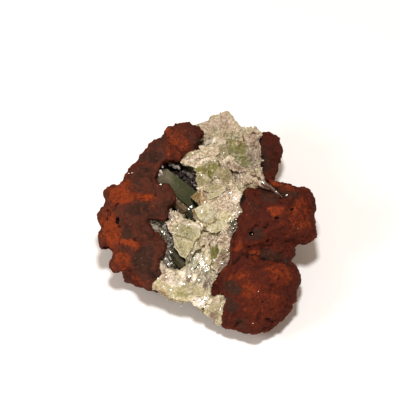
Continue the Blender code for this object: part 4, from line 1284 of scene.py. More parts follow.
@dataclass
class Vein:
    """The adamite: cleavage plates over a mass of crystals, and clear crystals among them."""

    face: Face
    sink: float = 0.25
    gap_reach: int = 4
    gap_cell: float = 0.15
    gap_margin: float = 0.05
    gap_fill: float = 0.9
    deepest_gap: float = 2.2
    crumb_size: float = 0.8
    crumb_slope: float = 0.5
    step_size: float = 1.9
    step_slope: float = 0.22
    crease: float = math.radians(24.0)
    edge: float = 0.4
    longest: float = 0.36
    ragged: float = 0.13
    back_size: float = 2.4
    back_slope: float = 0.6
    back_from: Tuple[float, float] = (17.0, 19.5)
    undercut: float = 0.5
    seal: float = 0.22
    rust_sink: float = 0.3
    trim: float = 2.0
    growth_split: float = -2.0
    growth_turns: Point2 = (math.radians(28.0), math.radians(68.0))
    growth_length: float = 2.2
    back_hues: Tuple[Tuple[str, float], ...] = (
        ("powder", 0.75), ("olive", 0.7), ("golden", 0.3), ("grey", 0.5), ("rosy", 0.7), ("milky", 0.5),
    )
    hollow: Tuple[Point2, ...] = (
        (-6.4, 13.6), (-4.8, 13), (-3.8, 12), (-2.5, 11), (-2.8, 9.7), (-2.6, 8.2), (-2, 7.2), (-1.2, 5.6),
        (-1.4, 3.8), (-2.6, 3), (-2.4, 1.2), (-2.6, 0.2), (-4.5, 0.8), (-5.7, 1.6), (-6.7, 2.6), (-8.5, 3),
        (-9.5, 5), (-9.5, 11), (-8, 13.6),
    )
    hollow_floor: float = -4.4
    arm: Tuple[Patch, ...] = spots((15.2, 7.6, 3.6, 2.2, -38), (10.4, 21.2, 2.8, 2.6))
    trimmed: Tuple[Patch, ...] = spots(
        (13.7, 15.6, 1.3, 6.4), (9.1, 6, 0.9, 2.8, 0, 0.7), (10.6, 22.2, 2.6, 0.9, 0, 0.5),
    )
    # The hollow's walls, painted dark and rusty as painted shade.
    hollow_walls: Tuple[Patch, ...] = spots((-5.6, 9, 6.2, 7.4), (-4.6, 2.8, 5, 5))
    shards: Tuple[Shard, ...] = SHARDS
    masks: Dict[str, Tuple[Patch, ...]] = field(default_factory=lambda: MASKS)

    def base(self, node: Piece) -> Piece:
        """A copy of the solid, sunk a little where it faces the viewer, to carry the plates."""
        base = copy_of(node, "adamite_mass")
        places, normals = read_skin(base)
        outward = self.face.outward()
        facing = smooth(0.3, 0.8, normals @ outward)
        write_skin(base, places - outward * (facing * self.sink * MM)[:, None])
        bm = bmesh.new()
        room = Shard(self.hollow, rise=20.0, depth=20.0 - self.hollow_floor, lean=(0.0, 0.0))
        room.add_to(bm, np.zeros(3), self.face.matrix())
        combine(base, [from_bmesh("hollow", bm)], "DIFFERENCE")
        return base

    def solid_of(self, shard: Shard, front: Front) -> Piece:
        """One shard as an object of its own."""
        bm = bmesh.new()
        shard.add_to(bm, front.plane(shard), self.face.matrix())
        return from_bmesh("shard", bm)

    def fill(self, mass: Piece, crisp: Piece) -> None:
        """Fills the narrow gaps between the plates most of the way.

        Args:
            mass: the plates in one skin, changed in place.
            crisp: the clear crystals that stand among them.
        """
        places, _ = read_skin(mass)
        local = self.face.local(places)
        low, size, (across, up) = outline_grid(local, self.gap_cell)
        own = Front(self.face, mass).grid(low, size, self.gap_cell)
        seen = Front(self.face, mass, crisp).grid(low, size, self.gap_cell)
        gap = without_gaps(seen, self.gap_reach) - own
        gap = np.where((gap < self.deepest_gap) & (own > seen - self.gap_margin), gap, 0.0)
        for _ in range(2):
            gap = (gap + sum(beside(gap))) / 5.0
        near = smooth(1.8, 0.6, own[across, up] - local[:, 2])
        write_mask(mass, "gap", smooth(0.15, 0.8, gap[across, up]) * near)
        lift = self.gap_fill * gap[across, up] * near * MM
        write_skin(mass, places + self.face.outward() * lift[:, None])

    def mass(self, node: Piece, stone: Front, crisp: Piece, material: Material) -> Piece:
        """The broken mass: the solid and the broken plates in one skin, with crumbs and small steps.

        Args:
            node: the vein's solid.
            stone: the stone beside it.
            crisp: the clear crystals that stand in it.
            material: its look.

        Returns:
            The finished piece.
        """
        front = Front(self.face, node)
        mass = self.base(node)
        broken = [self.solid_of(shard, front) for shard in self.shards if shard.build is Build.BROKEN]
        combine(mass, broken, "UNION")
        refine(mass, self.longest)
        self.fill(mass, crisp)
        places, normals = read_skin(mass)
        local = self.face.local(places)
        self.paint(mass, local, normals, self.depth(node, local))
        behind, powder = read_mask(mass, "behind"), read_mask(mass, "powder")
        gaps, centres = cells(local, self.crumb_size)
        _, step_centres = cells(self.along_growth(local), self.step_size)
        steps = facets(self.along_growth(local), self.step_size, self.step_slope, 4.0)
        crumbs = facets(local + 50.0, self.crumb_size, self.crumb_slope, 9.0)
        seal = self.seal * stone.near(places, 0.6)
        rusty = read_mask(mass, "rusty")
        tame = 0.5 * np.maximum(read_mask(mass, "soft"), read_mask(mass, "rosy"))
        calm = 1.0 - np.maximum(tame, 0.8 * rusty)
        height = calm * ((0.25 + 0.75 * powder) * crumbs + steps) + seal - self.rust_sink * rusty
        broken = facets(local + 20.0, self.back_size, self.back_slope, 13.0) + 0.35 * rough(local, 1.4, 3)
        deep = read_mask(mass, "deep")
        broken = np.clip(broken - 0.5, -1.3, 0.3) * (1.0 + 0.5 * deep) - self.undercut * deep
        height += behind * (1.0 - stone.near(places, 0.6)) * broken
        write_edges(mass, self.edge)
        trim = self.trim * most_of(self.trimmed, local)[:, None] * self.face.outward()
        write_skin(mass, places + (normals * height[:, None] + self.torn(local) - trim) * MM)
        write_mask(mass, "tint", 0.6 * dice_at(step_centres, 5.0) + 0.4 * dice_at(centres, 6.0))
        # Painted shade: the dips between powder crumbs and the gaps between plates are stored to be darkened.
        hollow = smooth(0.45, 0.6, gaps[:, 0] / self.crumb_size) * powder * dice_at(centres, 7.0)
        lines = read_mask(mass, "gap") * smooth(-0.1, 0.3, rough(local + 60.0, 2.4, 3))
        write_mask(mass, "crevice", np.maximum(0.25 * hollow, 0.7 * lines))
        dress(mass, material, True)
        mass.data.set_sharp_from_angle(angle=self.crease)
        return mass

    def torn(self, local: Rows) -> Rows:
        """A fine random shift that makes the surface ragged."""
        return self.ragged * drift(local, 0.9, 2, RAGGED)

    def along_growth(self, local: Rows) -> Rows:
        """Places squeezed along the crystals' growth, so that cells become long that way."""
        turn = np.where(local[:, 1] > self.growth_split, *self.growth_turns)
        along = local[:, 0] * np.cos(turn) + local[:, 1] * np.sin(turn)
        across = local[:, 1] * np.cos(turn) - local[:, 0] * np.sin(turn)
        return np.stack([along / self.growth_length, across, local[:, 2]], axis=1)

    def depth(self, node: Piece, local: Rows) -> Rows:
        """How far each place is behind the front of the vein, in millimetres.

        Args:
            node: the vein's solid.
            local: the places as a, b and c.

        Returns:
            One value for each place.
        """
        cell = 2.0 * self.gap_cell
        low, size, (across, up) = outline_grid(local, cell)
        tops = Front(self.face, node).grid(low, size, cell)
        for _ in range(3):
            for other in beside(tops):
                tops = np.maximum(tops, other)
        return tops[across, up] - local[:, 2]

    def paint(self, obj: Piece, local: Rows, normals: Rows, depth: Rows) -> None:
        """Stores the masks of hue and powder, in clouds where the vein is seen from behind, and paints the
        hollow's walls dark as painted shade.
        """
        warped = local + 0.4 * drift(local, 1.6, 3)
        facing = smooth(0.2, 0.7, normals @ self.face.outward())
        backward = local @ (0.0, math.cos(self.face.tilt), -math.sin(self.face.tilt))
        backward -= 0.6 * np.maximum(local[:, 0] - 7.0, 0.0)
        behind = smooth(1.0, 2.6, depth)
        deep = smooth(2.0, 4.0, depth) * smooth(*self.back_from, backward)
        walls = behind * smooth(0.1, 0.4, most_of(self.hollow_walls, local))
        turned = (1.0 - facing) * (1.0 - walls) * (1.0 - most_of(self.arm, local) * (1.0 - deep))
        behind, deep = behind * turned, deep * turned
        for name, patches in self.masks.items():
            cover = most_of(patches, warped)
            if name == "powder":
                upper = 0.32 + 0.26 * smooth(2.0, 9.0, local[:, 1])
                cover = np.maximum(cover, upper) * (0.4 + 0.6 * facing)
            clouds = smooth(-0.05, 0.35, rough(local + 17.0 * len(name), 3.4, 3))
            cover += (clouds * dict(self.back_hues).get(name, 0.0) - cover) * behind
            shaded = {"dark": 1.0, "rusty": 0.5}.get(name, 0.0)
            write_mask(obj, name, cover + (shaded - cover) * walls)
        write_mask(obj, "soft", 0.8 * smooth(14.0, 19.0, local[:, 1]) * (1.0 - behind))
        write_mask(obj, "behind", behind)
        write_mask(obj, "deep", deep)

    def crisp(self, node: Piece, material: Material) -> Piece:
        """The clear shards, with fine relief on their faces.

        Args:
            node: the vein's solid.
            material: their look.

        Returns:
            The finished piece.
        """
        front = Front(self.face, node)
        crisp = new_object("clear_crystals", bpy.data.meshes.new("clear_crystals"))
        bm = bmesh.new()
        order = bm.verts.layers.float.new("shard")
        clear = [shard for shard in self.shards if shard.build is Build.CLEAR]
        for number, shard in enumerate(clear):
            known = set(bm.verts)
            shard.add_to(bm, front.plane(shard), self.face.matrix())
            for corner in bm.verts:
                if corner not in known:
                    corner[order] = number
        bm.to_mesh(crisp.data)
        bm.free()
        refine(crisp, self.longest)
        places, normals = read_skin(crisp)
        local = self.face.local(places)
        number = np.round(read_mask(crisp, "shard")).astype(int)
        tones = np.array([shard.tone.value for shard in clear])[number]
        self.paint(crisp, local, normals, self.depth(node, local))
        write_mask(crisp, "powder", 0.55 * read_mask(crisp, "powder"))
        for tone in set(Tone) - {Tone.PALE}:
            painted = 0.55 * read_mask(crisp, tone.value)
            write_mask(crisp, tone.value, np.maximum(0.8 * (tones == tone.value), painted))
        along = self.along_growth(local)
        write_mask(crisp, "tint", dice_at(cells(along, self.step_size)[1], 5.0))
        write_mask(crisp, "crevice", np.zeros(len(local)))
        write_edges(crisp, self.edge)
        height = facets(along, self.step_size, 0.09, 4.0) + 0.3 * facets(local, self.crumb_size, 0.3, 9.0)
        broken = read_mask(crisp, "behind") * (facets(local, 1.5, 0.5, 13.0) - 0.2)
        height += broken - self.undercut * read_mask(crisp, "deep")
        write_skin(crisp, places + (normals * height[:, None] + 0.6 * self.torn(local)) * MM)
        dress(crisp, material, True)
        crisp.data.set_sharp_from_angle(angle=self.crease)
        return crisp


@dataclass(frozen=True)
class Splinter:
    """The shape of a small crystal: a prism over a slanted section with a wedge for its tip."""

    width: float = 0.34
    depth: float = 0.26
    shoulder: float = 0.72
    root: float = -0.25

    def build(self, name: str) -> Piece:
        """A small crystal of length 1 along z, on its own and hidden, for scattering."""
        bm = bmesh.new()
        section = ((0.5, -0.35), (0.3, 0.5), (-0.5, 0.35), (-0.3, -0.5))
        corners = [(x, y, z) for z in (self.root, self.shoulder) for x, y in section]
        corners += [(0.12, 0.1, 1.0), (-0.16, -0.1, 0.92)]
        made = [bm.verts.new((x * self.width, y * self.depth, z)) for x, y, z in corners]
        bmesh.ops.convex_hull(bm, input=made)
        seed = from_bmesh(name, bm)
        seed.hide_render = True
        seed.hide_viewport = True
        return seed


@dataclass(frozen=True)
class Scatter:
    """Small crystals strewn over a piece where one of its masks allows it.

    The density is how many grow on a square millimetre, low and high are their lengths, spread is how much
    their ways differ, and upright how much they follow the surface's normal.
    """

    name: str
    mask: str
    density: float
    low: float
    high: float
    spread: float
    upright: float
    seed: int
    growth: Vector = Vector((0.0, 0.0, 1.0))

    def tree(self) -> Tree:
        """The geometry nodes that strew the crystals."""
        tree = bpy.data.node_groups.new(self.name, "GeometryNodeTree")
        kinds = {
            "Geometry": "Geometry", "Crystal": "Object", "Density": "Float", "Smallest": "Float",
            "Largest": "Float", "Spread": "Float", "Upright": "Float", "Growth": "Vector", "Seed": "Int",
            "Finish": "Material",
        }
        for key, kind in kinds.items():
            tree.interface.new_socket(key, in_out="INPUT", socket_type="NodeSocket" + kind)
        tree.interface.new_socket("Geometry", in_out="OUTPUT", socket_type="NodeSocketGeometry")
        graph = Graph(tree)
        given = graph.add("NodeGroupInput").outputs
        feed = {"Name": self.mask}
        room = graph.add("GeometryNodeInputNamedAttribute", feed, data_type="FLOAT").outputs[0]
        feed = {"Mesh": given["Geometry"], "Density": graph.times(given["Density"], room)}
        points = graph.add("GeometryNodeDistributePointsOnFaces", {**feed, "Seed": given["Seed"]})
        feed = {0: (-1.0, -1.0, -1.0), 1: (1.0, 1.0, 1.0), "Seed": given["Seed"]}
        shake = graph.add("FunctionNodeRandomValue", feed, data_type="FLOAT_VECTOR").outputs[0]
        shaken = graph.scaled(shake, given["Spread"])
        lifted = graph.scaled(points.outputs["Normal"], given["Upright"])
        way = graph.vector("ADD", graph.vector("ADD", lifted, given["Growth"]), shaken)
        aimed = graph.add("FunctionNodeAlignRotationToVector", {"Vector": way}, axis="Z").outputs[0]
        feed = {"Axis": (0.0, 0.0, 1.0), "Angle": graph.random(0.0, math.tau, 3)}
        spin = graph.add("FunctionNodeAxisAngleToRotation", feed).outputs[0]
        feed = {0: aimed, 1: spin}
        turned = graph.add("FunctionNodeRotateRotation", feed, rotation_space="LOCAL").outputs[0]
        size = graph.random(given["Smallest"], given["Largest"], 5)
        shape = graph.add("GeometryNodeObjectInfo", {"Object": given["Crystal"]}).outputs["Geometry"]
        feed = {"Points": points.outputs[0], "Instance": shape, "Rotation": turned, "Scale": size}
        placed = graph.add("GeometryNodeInstanceOnPoints", feed).outputs[0]
        feed = {"Geometry": placed, "Name": "tint", "Value": graph.random(0.0, 1.0, 7)}
        settings = {"data_type": "FLOAT", "domain": "INSTANCE"}
        kept = graph.add("GeometryNodeStoreNamedAttribute", feed, **settings).outputs[0]
        feed = {"Geometry": graph.add("GeometryNodeRealizeInstances", {0: kept}).outputs[0]}
        feed["Material"] = given["Finish"]
        finish = graph.add("GeometryNodeSetMaterial", feed).outputs[0]
        graph.add("NodeGroupOutput", {0: finish})
        return tree

    def grow(self, ground: Piece, shape: Piece, finish: Material) -> Piece:
        """Strews the crystals over a piece.

        Args:
            ground: the piece that they grow on.
            shape: the shape of one.
            finish: their look.

        Returns:
            The crystals as one plain mesh.
        """
        made = new_object(self.name, ground.data.copy())
        nodes = made.modifiers.new("strewn", "NODES")
        nodes.node_group = self.tree()
        values = {
            "Crystal": shape, "Density": self.density / MM**2, "Smallest": self.low * MM,
            "Largest": self.high * MM, "Spread": self.spread, "Upright": self.upright,
            "Growth": self.growth, "Seed": self.seed, "Finish": finish,
        }
        for item in nodes.node_group.interface.items_tree:
            if item.item_type == "SOCKET" and item.in_out == "INPUT" and item.name in values:
                nodes[item.identifier] = values[item.name]
        apply_modifiers(made)
        dress(made, finish, False)
        return made


CHIPS = Scatter("powder_chips", "powder_room", 6.0, 0.25, 0.65, 1.0, 0.35, 11)
BLOCKS = Scatter("back_crystals", "back_room", 1.4, 0.7, 1.6, 0.7, 1.0, 13)
POCKET_DRUSE = Scatter("pocket_druse", "room", 1.2, 0.6, 1.6, 0.7, 1.0, 21)
SEAM_DRUSE = Scatter("seam_druse", "room", 2.2, 0.6, 1.4, 0.8, 1.0, 22)
EDGE_DRUSE = Scatter("edge_druse", "dark_room", 3.2, 0.5, 1.2, 0.9, 1.0, 23)


@dataclass(frozen=True)
class Bar:
    """A six-sided crystal from one point of the face to another, with rings of growth and blunt ends."""

    start: Point3
    end: Point3
    radius: float
    rings: int = 5
    ripple: float = 0.03
    squeeze: float = 0.8
    roll: float = 12.0
    blunt: float = 0.55

    def add_to(self, bm: BMesh, place: Matrix, ground: Optional[Front]) -> None:
        """Adds the crystal to a bmesh.

        Args:
            bm: the bmesh.
            place: the matrix from the face to the table.
            ground: what the crystal lies on, where its ends' heights are counted from there.
        """
        start, end = Vector(self.start), Vector(self.end)
        if ground:
            for point in (start, end):
                point.z += ground.height(point.x, point.y) or 0.0
        way = end - start
        length = way.length
        turned = place @ Matrix.Translation(start) @ way.to_track_quat("Z", "Y").to_matrix().to_4x4()
        stops = [0.0] + [length * (i + 0.5) / self.rings for i in range(self.rings)] + [length]
        rows = []
        for row, z in enumerate(stops):
            across = self.radius * (self.blunt if z in (0.0, length) else 1.0)
            across += self.ripple * math.sin(row * 2.3)
            ring = []
            for side in range(6):
                angle = math.radians(60.0 * side + self.roll)
                flat = self.squeeze if side % 3 else 1.0
                x, y = math.cos(angle) * across, math.sin(angle) * across * flat
                ring.append(bm.verts.new(turned @ Vector((x, y, z))))
            rows.append(ring)
        faces = [bm.faces.new(rows[0]), bm.faces.new(rows[-1])]
        for lower, upper in zip(rows, rows[1:]):
            faces += [bm.faces.new((lower[i - 1], lower[i], upper[i], upper[i - 1])) for i in range(6)]
        bmesh.ops.recalc_face_normals(bm, faces=faces)


def bar_rows(rings: int, *rows: Sequence[float]) -> Tuple[Bar, ...]:
    """Crystals with this many rings, from rows of their start, end, radius and roll."""
    return tuple(Bar(row[:3], row[3:6], row[6], rings, roll=row[7]) for row in rows)


@dataclass
class Pocket:
    """The hollow: its long green prism, its dark crust and the loose crystals in it."""

    face: Face
    voxel: float = 0.3
    smoothing: int = 2
    grain: float = 0.8
    grain_height: float = 0.5
    grain_lift: float = 0.25
    cloudy: Point2 = (4.8, 1.2)
    long: Bar = Bar((-11.0, 11.0, 3.0), (-1.4, 3.7, -3.5), 2.3, rings=15)
    green: Tuple[Bar, ...] = bar_rows(
        5, (-6.4, 4.6, -2.6, -2, 0.6, -0.6, 1.25, 30), (-4.6, 4.9, -3.6, -2.9, 1.2, -1.6, 0.9, 50),
    )
    brown: Tuple[Bar, ...] = bar_rows(
        5, (-8.2, 5.6, 0, -4.7, 2.6, -0.9, 1.15, 40),
    )
    shaded: Tuple[Bar, ...] = bar_rows(
        5, (-5.6, 12.4, -3.6, -3, 10.4, -3, 0.8, 12), (-4, 11.4, -4.4, -3.4, 8.6, -3.4, 0.9, 35),
        (-7.4, 12.6, -4, -5.2, 10.9, -4.2, 0.7, 20), (-3.2, 9.8, -4, -2.4, 8, -2.6, 0.6, 5),
    )
    frosted: Tuple[Bar, ...] = bar_rows(
        2, (-9, 13.5, 0.9, -8.2, 13.2, 0.9, 0.3, 25), (-8.5, 13.9, 0.6, -7.6, 13.1, 0.7, 0.34, 55),
        (-7.9, 13.7, 0.5, -7.3, 12.8, 0.3, 0.32, 10), (-7.6, 13.2, 0.4, -6.5, 12.9, 0.1, 0.36, 40),
        (-6.9, 13.3, 0.2, -6.3, 12.4, 0, 0.34, 5), (-8, 13, 0.3, -7, 12.6, 0, 0.26, 30),
        (-8.9, 13.9, 0.5, -8, 13.8, 0.3, 0.24, 50), (-10.6, 13.5, 2.6, -10.1, 12.6, 2.8, 0.3, 10),
        (-10.9, 12.2, 3.4, -10.2, 11.3, 3.7, 0.36, 40), (-10.6, 11.5, 3.7, -9.9, 10.7, 3.8, 0.32, 0),
        (-11.1, 11.3, 3.3, -10.6, 10.4, 3.5, 0.26, 20),
    )
    seam_green: Tuple[Bar, ...] = bar_rows(
        5, (-8.5, -5.4, -0.3, -5.2, -8.8, 0.1, 1, 12), (-7.9, -6.9, 0, -5.4, -9.8, 0.2, 1.1, 40),
        (-8.5, -7.7, -0.2, -6.8, -10.3, 0, 0.8, 25), (-6.8, -6.2, 0.1, -5, -8.6, 0.3, 0.7, 5),
        (-9.4, -0.6, -0.1, -8.4, -2.6, 0, 0.7, 15), (-11.6, -0.2, -0.1, -10, -1.4, 0, 0.5, 35),
        (5.4, 0.6, -0.2, 6.2, -1.6, 0.1, 0.45, 35), (6.6, 1.2, -0.2, 6.3, -0.6, 0.1, 0.4, 5),
    )
    seam_frosted: Tuple[Bar, ...] = bar_rows(
        5, (-9.9, -7.7, 0.3, -8.7, -9.9, 0.4, 0.36, 12), (-9.5, -8.2, 0.4, -8.5, -10.1, 0.6, 0.3, 30),
        (-10.2, -8.4, 0.2, -9.6, -9.8, 0.3, 0.34, 50), (-8.9, -6, 0.7, -8, -7.1, 0.8, 0.17, 12),
        (-9, -7, 0.7, -8.2, -8.5, 0.8, 0.2, 20), (-9.3, -2.6, 0.1, -7.9, -4.2, 0.3, 0.55, 12),
        (-8.7, -2.3, 0.1, -7.3, -3.6, 0.3, 0.5, 30), (-12.2, -0.9, 0.1, -11, -1.9, 0.2, 0.4, 10),
        (-13, 0.8, 0.1, -12.5, -0.3, 0.2, 0.3, 20), (-10.6, -0.1, 0.1, -9.4, -0.5, 0.3, 0.35, 40),
        (-10.5, -1.6, 0.3, -9.6, -2.6, 0.4, 0.25, 15),
    )

    def bars(
        self, name: str, bars: Sequence[Bar], finish: Material, ground: Optional[Front] = None
    ) -> Piece:
        """Crystals that lie in the hollow or the seam.

        Args:
            name: the piece's name.
            bars: the crystals.
            finish: their look.
            ground: what they lie on, where their heights are counted from there.

        Returns:
            The finished piece.
        """
        bm = bmesh.new()
        for bar in bars:
            bar.add_to(bm, self.face.matrix(), ground)
        made = from_bmesh(name, bm)
        places, _ = read_skin(made)
        gap = np.linalg.norm(self.face.local(places) - np.array(self.long.start), axis=1)
        write_mask(made, "powder", smooth(*self.cloudy, gap))
        write_mask(made, "tint", dice_at(np.round(places / 0.003), 0.7))
        dress(made, finish, False)
        return made

    def crust(self, node: Piece, name: str, finish: Material) -> Piece:
        """A dark crust over one of the solids.

        Args:
            node: the crust's solid.
            name: the piece's name.
            finish: its look.

        Returns:
            The finished piece.
        """
        crust = copy_of(node, name)
        one_skin(crust, self.voxel, self.smoothing)
        places, normals = read_skin(crust)
        local = self.face.local(places)
        gaps, centres = cells(local, self.grain)
        height = (0.5 - gaps[:, 0] / self.grain) * self.grain_height + self.grain_lift
        write_skin(crust, places + normals * (height * MM)[:, None])
        write_mask(crust, "tint", dice_at(centres, 2.0))
        write_mask(crust, "room", smooth(0.0, 0.5, normals @ self.face.outward()))
        dress(crust, finish, False)
        return crust


@dataclass
class Sparkles:
    """Tiny crystal faces that happen to lie so that they mirror the key light."""

    face: Face
    slope: float = -0.15
    thickness: float = 0.35
    rise: float = 0.12
    spots: Tuple[Tuple[float, float, float, float, float], ...] = (
        # a, b, half length, half width and turn in degrees
        (-3.63, 3.82, 0.36, 0.3, 40), (-4.2, 3.15, 0.22, 0.18, 0), (-10.6, 8.8, 0.2, 0.18, 0),
        (3.1, -19.5, 0.45, 0.16, 70), (-8.2, -15.1, 0.25, 0.2, 20), (-9.9, -14.3, 0.2, 0.16, 50),
        (-7.6, -16.9, 0.2, 0.15, 0), (-1.5, -8.3, 1.1, 0.32, 75), (-0.95, -9.4, 0.6, 0.2, 60),
        (-0.15, -8.1, 0.32, 0.2, 80), (-0.15, -10.2, 0.34, 0.26, 30), (-4, -12.1, 0.5, 0.26, 30),
        (-5.7, -13.8, 0.3, 0.2, 40), (-10.25, -1.96, 0.34, 0.18, -60), (-9.8, -2.4, 0.22, 0.16, -30),
        (-8.3, -6.6, 0.4, 0.11, -50), (-9.5, -8.1, 0.24, 0.16, 60), (-8.9, -9.4, 0.45, 0.12, -60),
        (-8, -9.1, 0.22, 0.16, 30), (-3.3, 16, 0.22, 0.2, 0), (-8, 0.86, 0.22, 0.15, 60),
        (-7.8, -2.1, 0.24, 0.13, 60), (-6.8, -1.1, 0.18, 0.12, 60), (-7.5, -5.4, 0.22, 0.12, -50),
        (-3.4, -6.7, 0.18, 0.12, 0), (-4.1, -0.3, 0.2, 0.1, -40), (-11.1, -12.5, 0.14, 0.1, 0),
        (-8.5, -11.3, 0.4, 0.15, -60), (-9.2, -12.2, 0.22, 0.2, 0), (-6, -13.6, 0.3, 0.2, 45),
        (-5.2, -13.8, 0.24, 0.18, 20), (-2.8, -12.7, 0.36, 0.16, 50), (-1.9, -12.9, 0.26, 0.16, 40),
        (-2, -10, 0.36, 0.14, 75), (-1.2, 2.6, 0.4, 0.14, 80), (-0.5, 4.8, 0.3, 0.1, 60),
        (-2.1, 7.9, 0.2, 0.1, 10), (-1.3, 10.95, 0.18, 0.14, 0), (1.8, 14.1, 0.22, 0.16, 30),
        (5.6, 0.4, 0.18, 0.12, 60), (6.3, -0.3, 0.16, 0.12, 0), (5.9, -1.2, 0.2, 0.14, 40),
        (6.6, 0.9, 0.18, 0.1, 70), (6.2, 2.2, 0.6, 0.07, 50), (7, 3.6, 0.6, 0.08, 60),
        (5.2, 1, 0.5, 0.06, 45), (7.4, 2.6, 0.4, 0.07, 70), (-2.9, -8, 0.3, 0.12, 70),
        (-3.4, -10.4, 0.3, 0.14, 60), (18.1, 6.4, 0.2, 0.16, 20), (10.3, -2.5, 0.12, 0.1, 0),
        (-17.9, 11.4, 0.1, 0.09, 0), (-17.1, 11.5, 0.1, 0.08, 0), (10.4, -22.7, 0.11, 0.1, 0),
        (20.7, -1.2, 0.1, 0.1, 0), (11.6, -15.4, 0.08, 0.08, 0), (3.8, 16, 0.4, 0.08, 60),
        (2.6, 18.2, 0.2, 0.12, 0), (-1.28, 18.8, 0.2, 0.15, 40), (-0.35, 18.3, 0.26, 0.13, 30),
        (12.7, 9.3, 0.4, 0.13, -30), (-1.3, -18.2, 0.9, 0.45, 40), (-0.3, -17, 0.7, 0.42, 50),
        (-1.9, -17.5, 0.6, 0.3, 20), (-3, -17.9, 0.5, 0.1, 15), (-0.9, -18.9, 0.5, 0.22, -20),
        (-1.2, -8.9, 0.6, 0.4, 75), (-0.7, -10, 0.34, 0.12, 80), (-0.3, -9.6, 0.3, 0.11, 20),
        (0.25, -9.8, 0.28, 0.11, -60), (0.1, -10.7, 0.34, 0.13, 60), (-0.4, -10.9, 0.25, 0.1, 0),
        (1.6, -8.4, 0.35, 0.14, -40), (4.6, -5.9, 0.5, 0.1, 80), (3.4, -9.2, 0.22, 0.14, 0),
        (-1.2, -0.4, 0.55, 0.1, -60), (15.8, 7.2, 0.12, 0.1, 0), (5.4, 6.9, 0.3, 0.22, 0),
        (6.4, 5.7, 0.7, 0.13, -45),
    )

    def build(self, front: Front) -> Piece:
        """Builds the faces on top of what is met from in front.

        Args:
            front: the pieces that they lie on.

        Returns:
            The finished piece.
        """
        bm = bmesh.new()
        for number, (a, b, length, width, turn) in enumerate(self.spots):
            cos, sin = math.cos(math.radians(turn)), math.sin(math.radians(turn))
            outline = []
            for side in range(6):
                angle = math.radians(60.0 * side + 9.0 * math.sin(number + side))
                x, y = length * math.cos(angle), width * math.sin(angle)
                outline.append((a + x * cos - y * sin, b + x * sin + y * cos))
            met = [front.height(*corner) for corner in outline]
            height = np.median([value for value in met if value is not None])
            plane = np.array((0.0, self.slope, float(height)))
            mirror = Shard(tuple(outline), rise=self.rise, depth=self.thickness, lean=(0.0, 0.0))
            mirror.add_to(bm, plane, self.face.matrix())
        made = from_bmesh("sparkling_faces", bm)
        for name, value in (("powder", 0.0), ("tint", 0.3), ("crevice", 0.0), ("edge", 0.0)):
            write_mask(made, name, np.full(len(made.data.vertices), value))
        finish = AdamiteFinish("mirroring adamite", roughness=0.06, facet=1.2, calm=0.02).make()
        dress(made, finish, False)
        return made


@dataclass(frozen=True)
class Lamp:
    """A round light, turned to the specimen: its size and distance in metres, its angles in degrees."""

    name: str
    size: float
    power: float
    colour: Colour
    azimuth: float
    elevation: float
    distance: float


@dataclass
class Studio:
    """The table, the camera and the lights."""

    face: Face
    elevation: float = 55.0
    distance: float = 0.8
    width: float = 0.092
    aim: Point3 = (-1.61, 5.29, 0.0)
    key: Lamp = Lamp("key", 0.05, 2.5, (1.0, 0.99, 0.98), 0.0, 72.0, 0.55)
    window: Lamp = Lamp("window", 0.18, 1.1, (1.0, 0.97, 0.93), -60.0, 42.0, 0.6)
    ambient: float = 0.45
    sky: Colour = (1.0, 0.81, 0.655)
    table_size: float = 1.5
    table_colour: Colour = (0.93, 0.93, 0.925)

    def place(self, obj: Piece, azimuth: float, elevation: float, distance: float) -> None:
        """Puts a camera or a light at this distance from the aim, turned to it, by angles in degrees."""
        aim = self.face.world(self.aim)
        turn, lift = math.radians(azimuth), math.radians(elevation)
        flat = math.cos(lift)
        way = Vector((flat * math.sin(turn), -flat * math.cos(turn), math.sin(lift)))
        obj.location = aim + distance * way
        obj.rotation_euler = (-way).to_track_quat("-Z", "Y").to_euler()
        bpy.context.scene.collection.objects.link(obj)

    def camera(self) -> None:
        """The camera, at the photo's angle."""
        data = bpy.data.cameras.new("camera")
        data.sensor_width = 36.0
        data.lens = data.sensor_width * self.distance / self.width
        camera = bpy.data.objects.new("camera", data)
        self.place(camera, 0.0, self.elevation, self.distance)
        bpy.context.scene.camera = camera

    def lights(self) -> None:
        """A key light a little over the camera, a soft window on the left and even light from all round."""
        for lamp in (self.key, self.window):
            data = bpy.data.lights.new(lamp.name, "AREA")
            data.shape = "DISK"
            data.size = lamp.size
            data.energy = lamp.power
            data.color = lamp.colour
            obj = bpy.data.objects.new(lamp.name, data)
            self.place(obj, lamp.azimuth, lamp.elevation, lamp.distance)
        world = bpy.data.worlds.new("room")
        world.use_nodes = True
        sky = world.node_tree.nodes["Background"]
        sky.inputs[0].default_value = (*self.sky, 1.0)
        sky.inputs[1].default_value = self.ambient
        bpy.context.scene.world = world

    def table(self) -> Piece:
        """The plain pale table."""
        bm = bmesh.new()
        bmesh.ops.create_grid(bm, x_segments=1, y_segments=1, size=self.table_size)
        table = from_bmesh("table", bm)
        look = {"Base_Color": (*self.table_colour, 1.0), "Roughness": 0.9}
        made, _, _ = start_material("pale table", **look)
        dress(table, made, True)
        return table


def find_face() -> Face:
    """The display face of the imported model, found from the middle of the long prism, which is symmetric."""
    low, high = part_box("pocket_prism")
    return Face(shift=(low + high) / 2 - Face(Vector()).world(PRISM_MIDDLE))


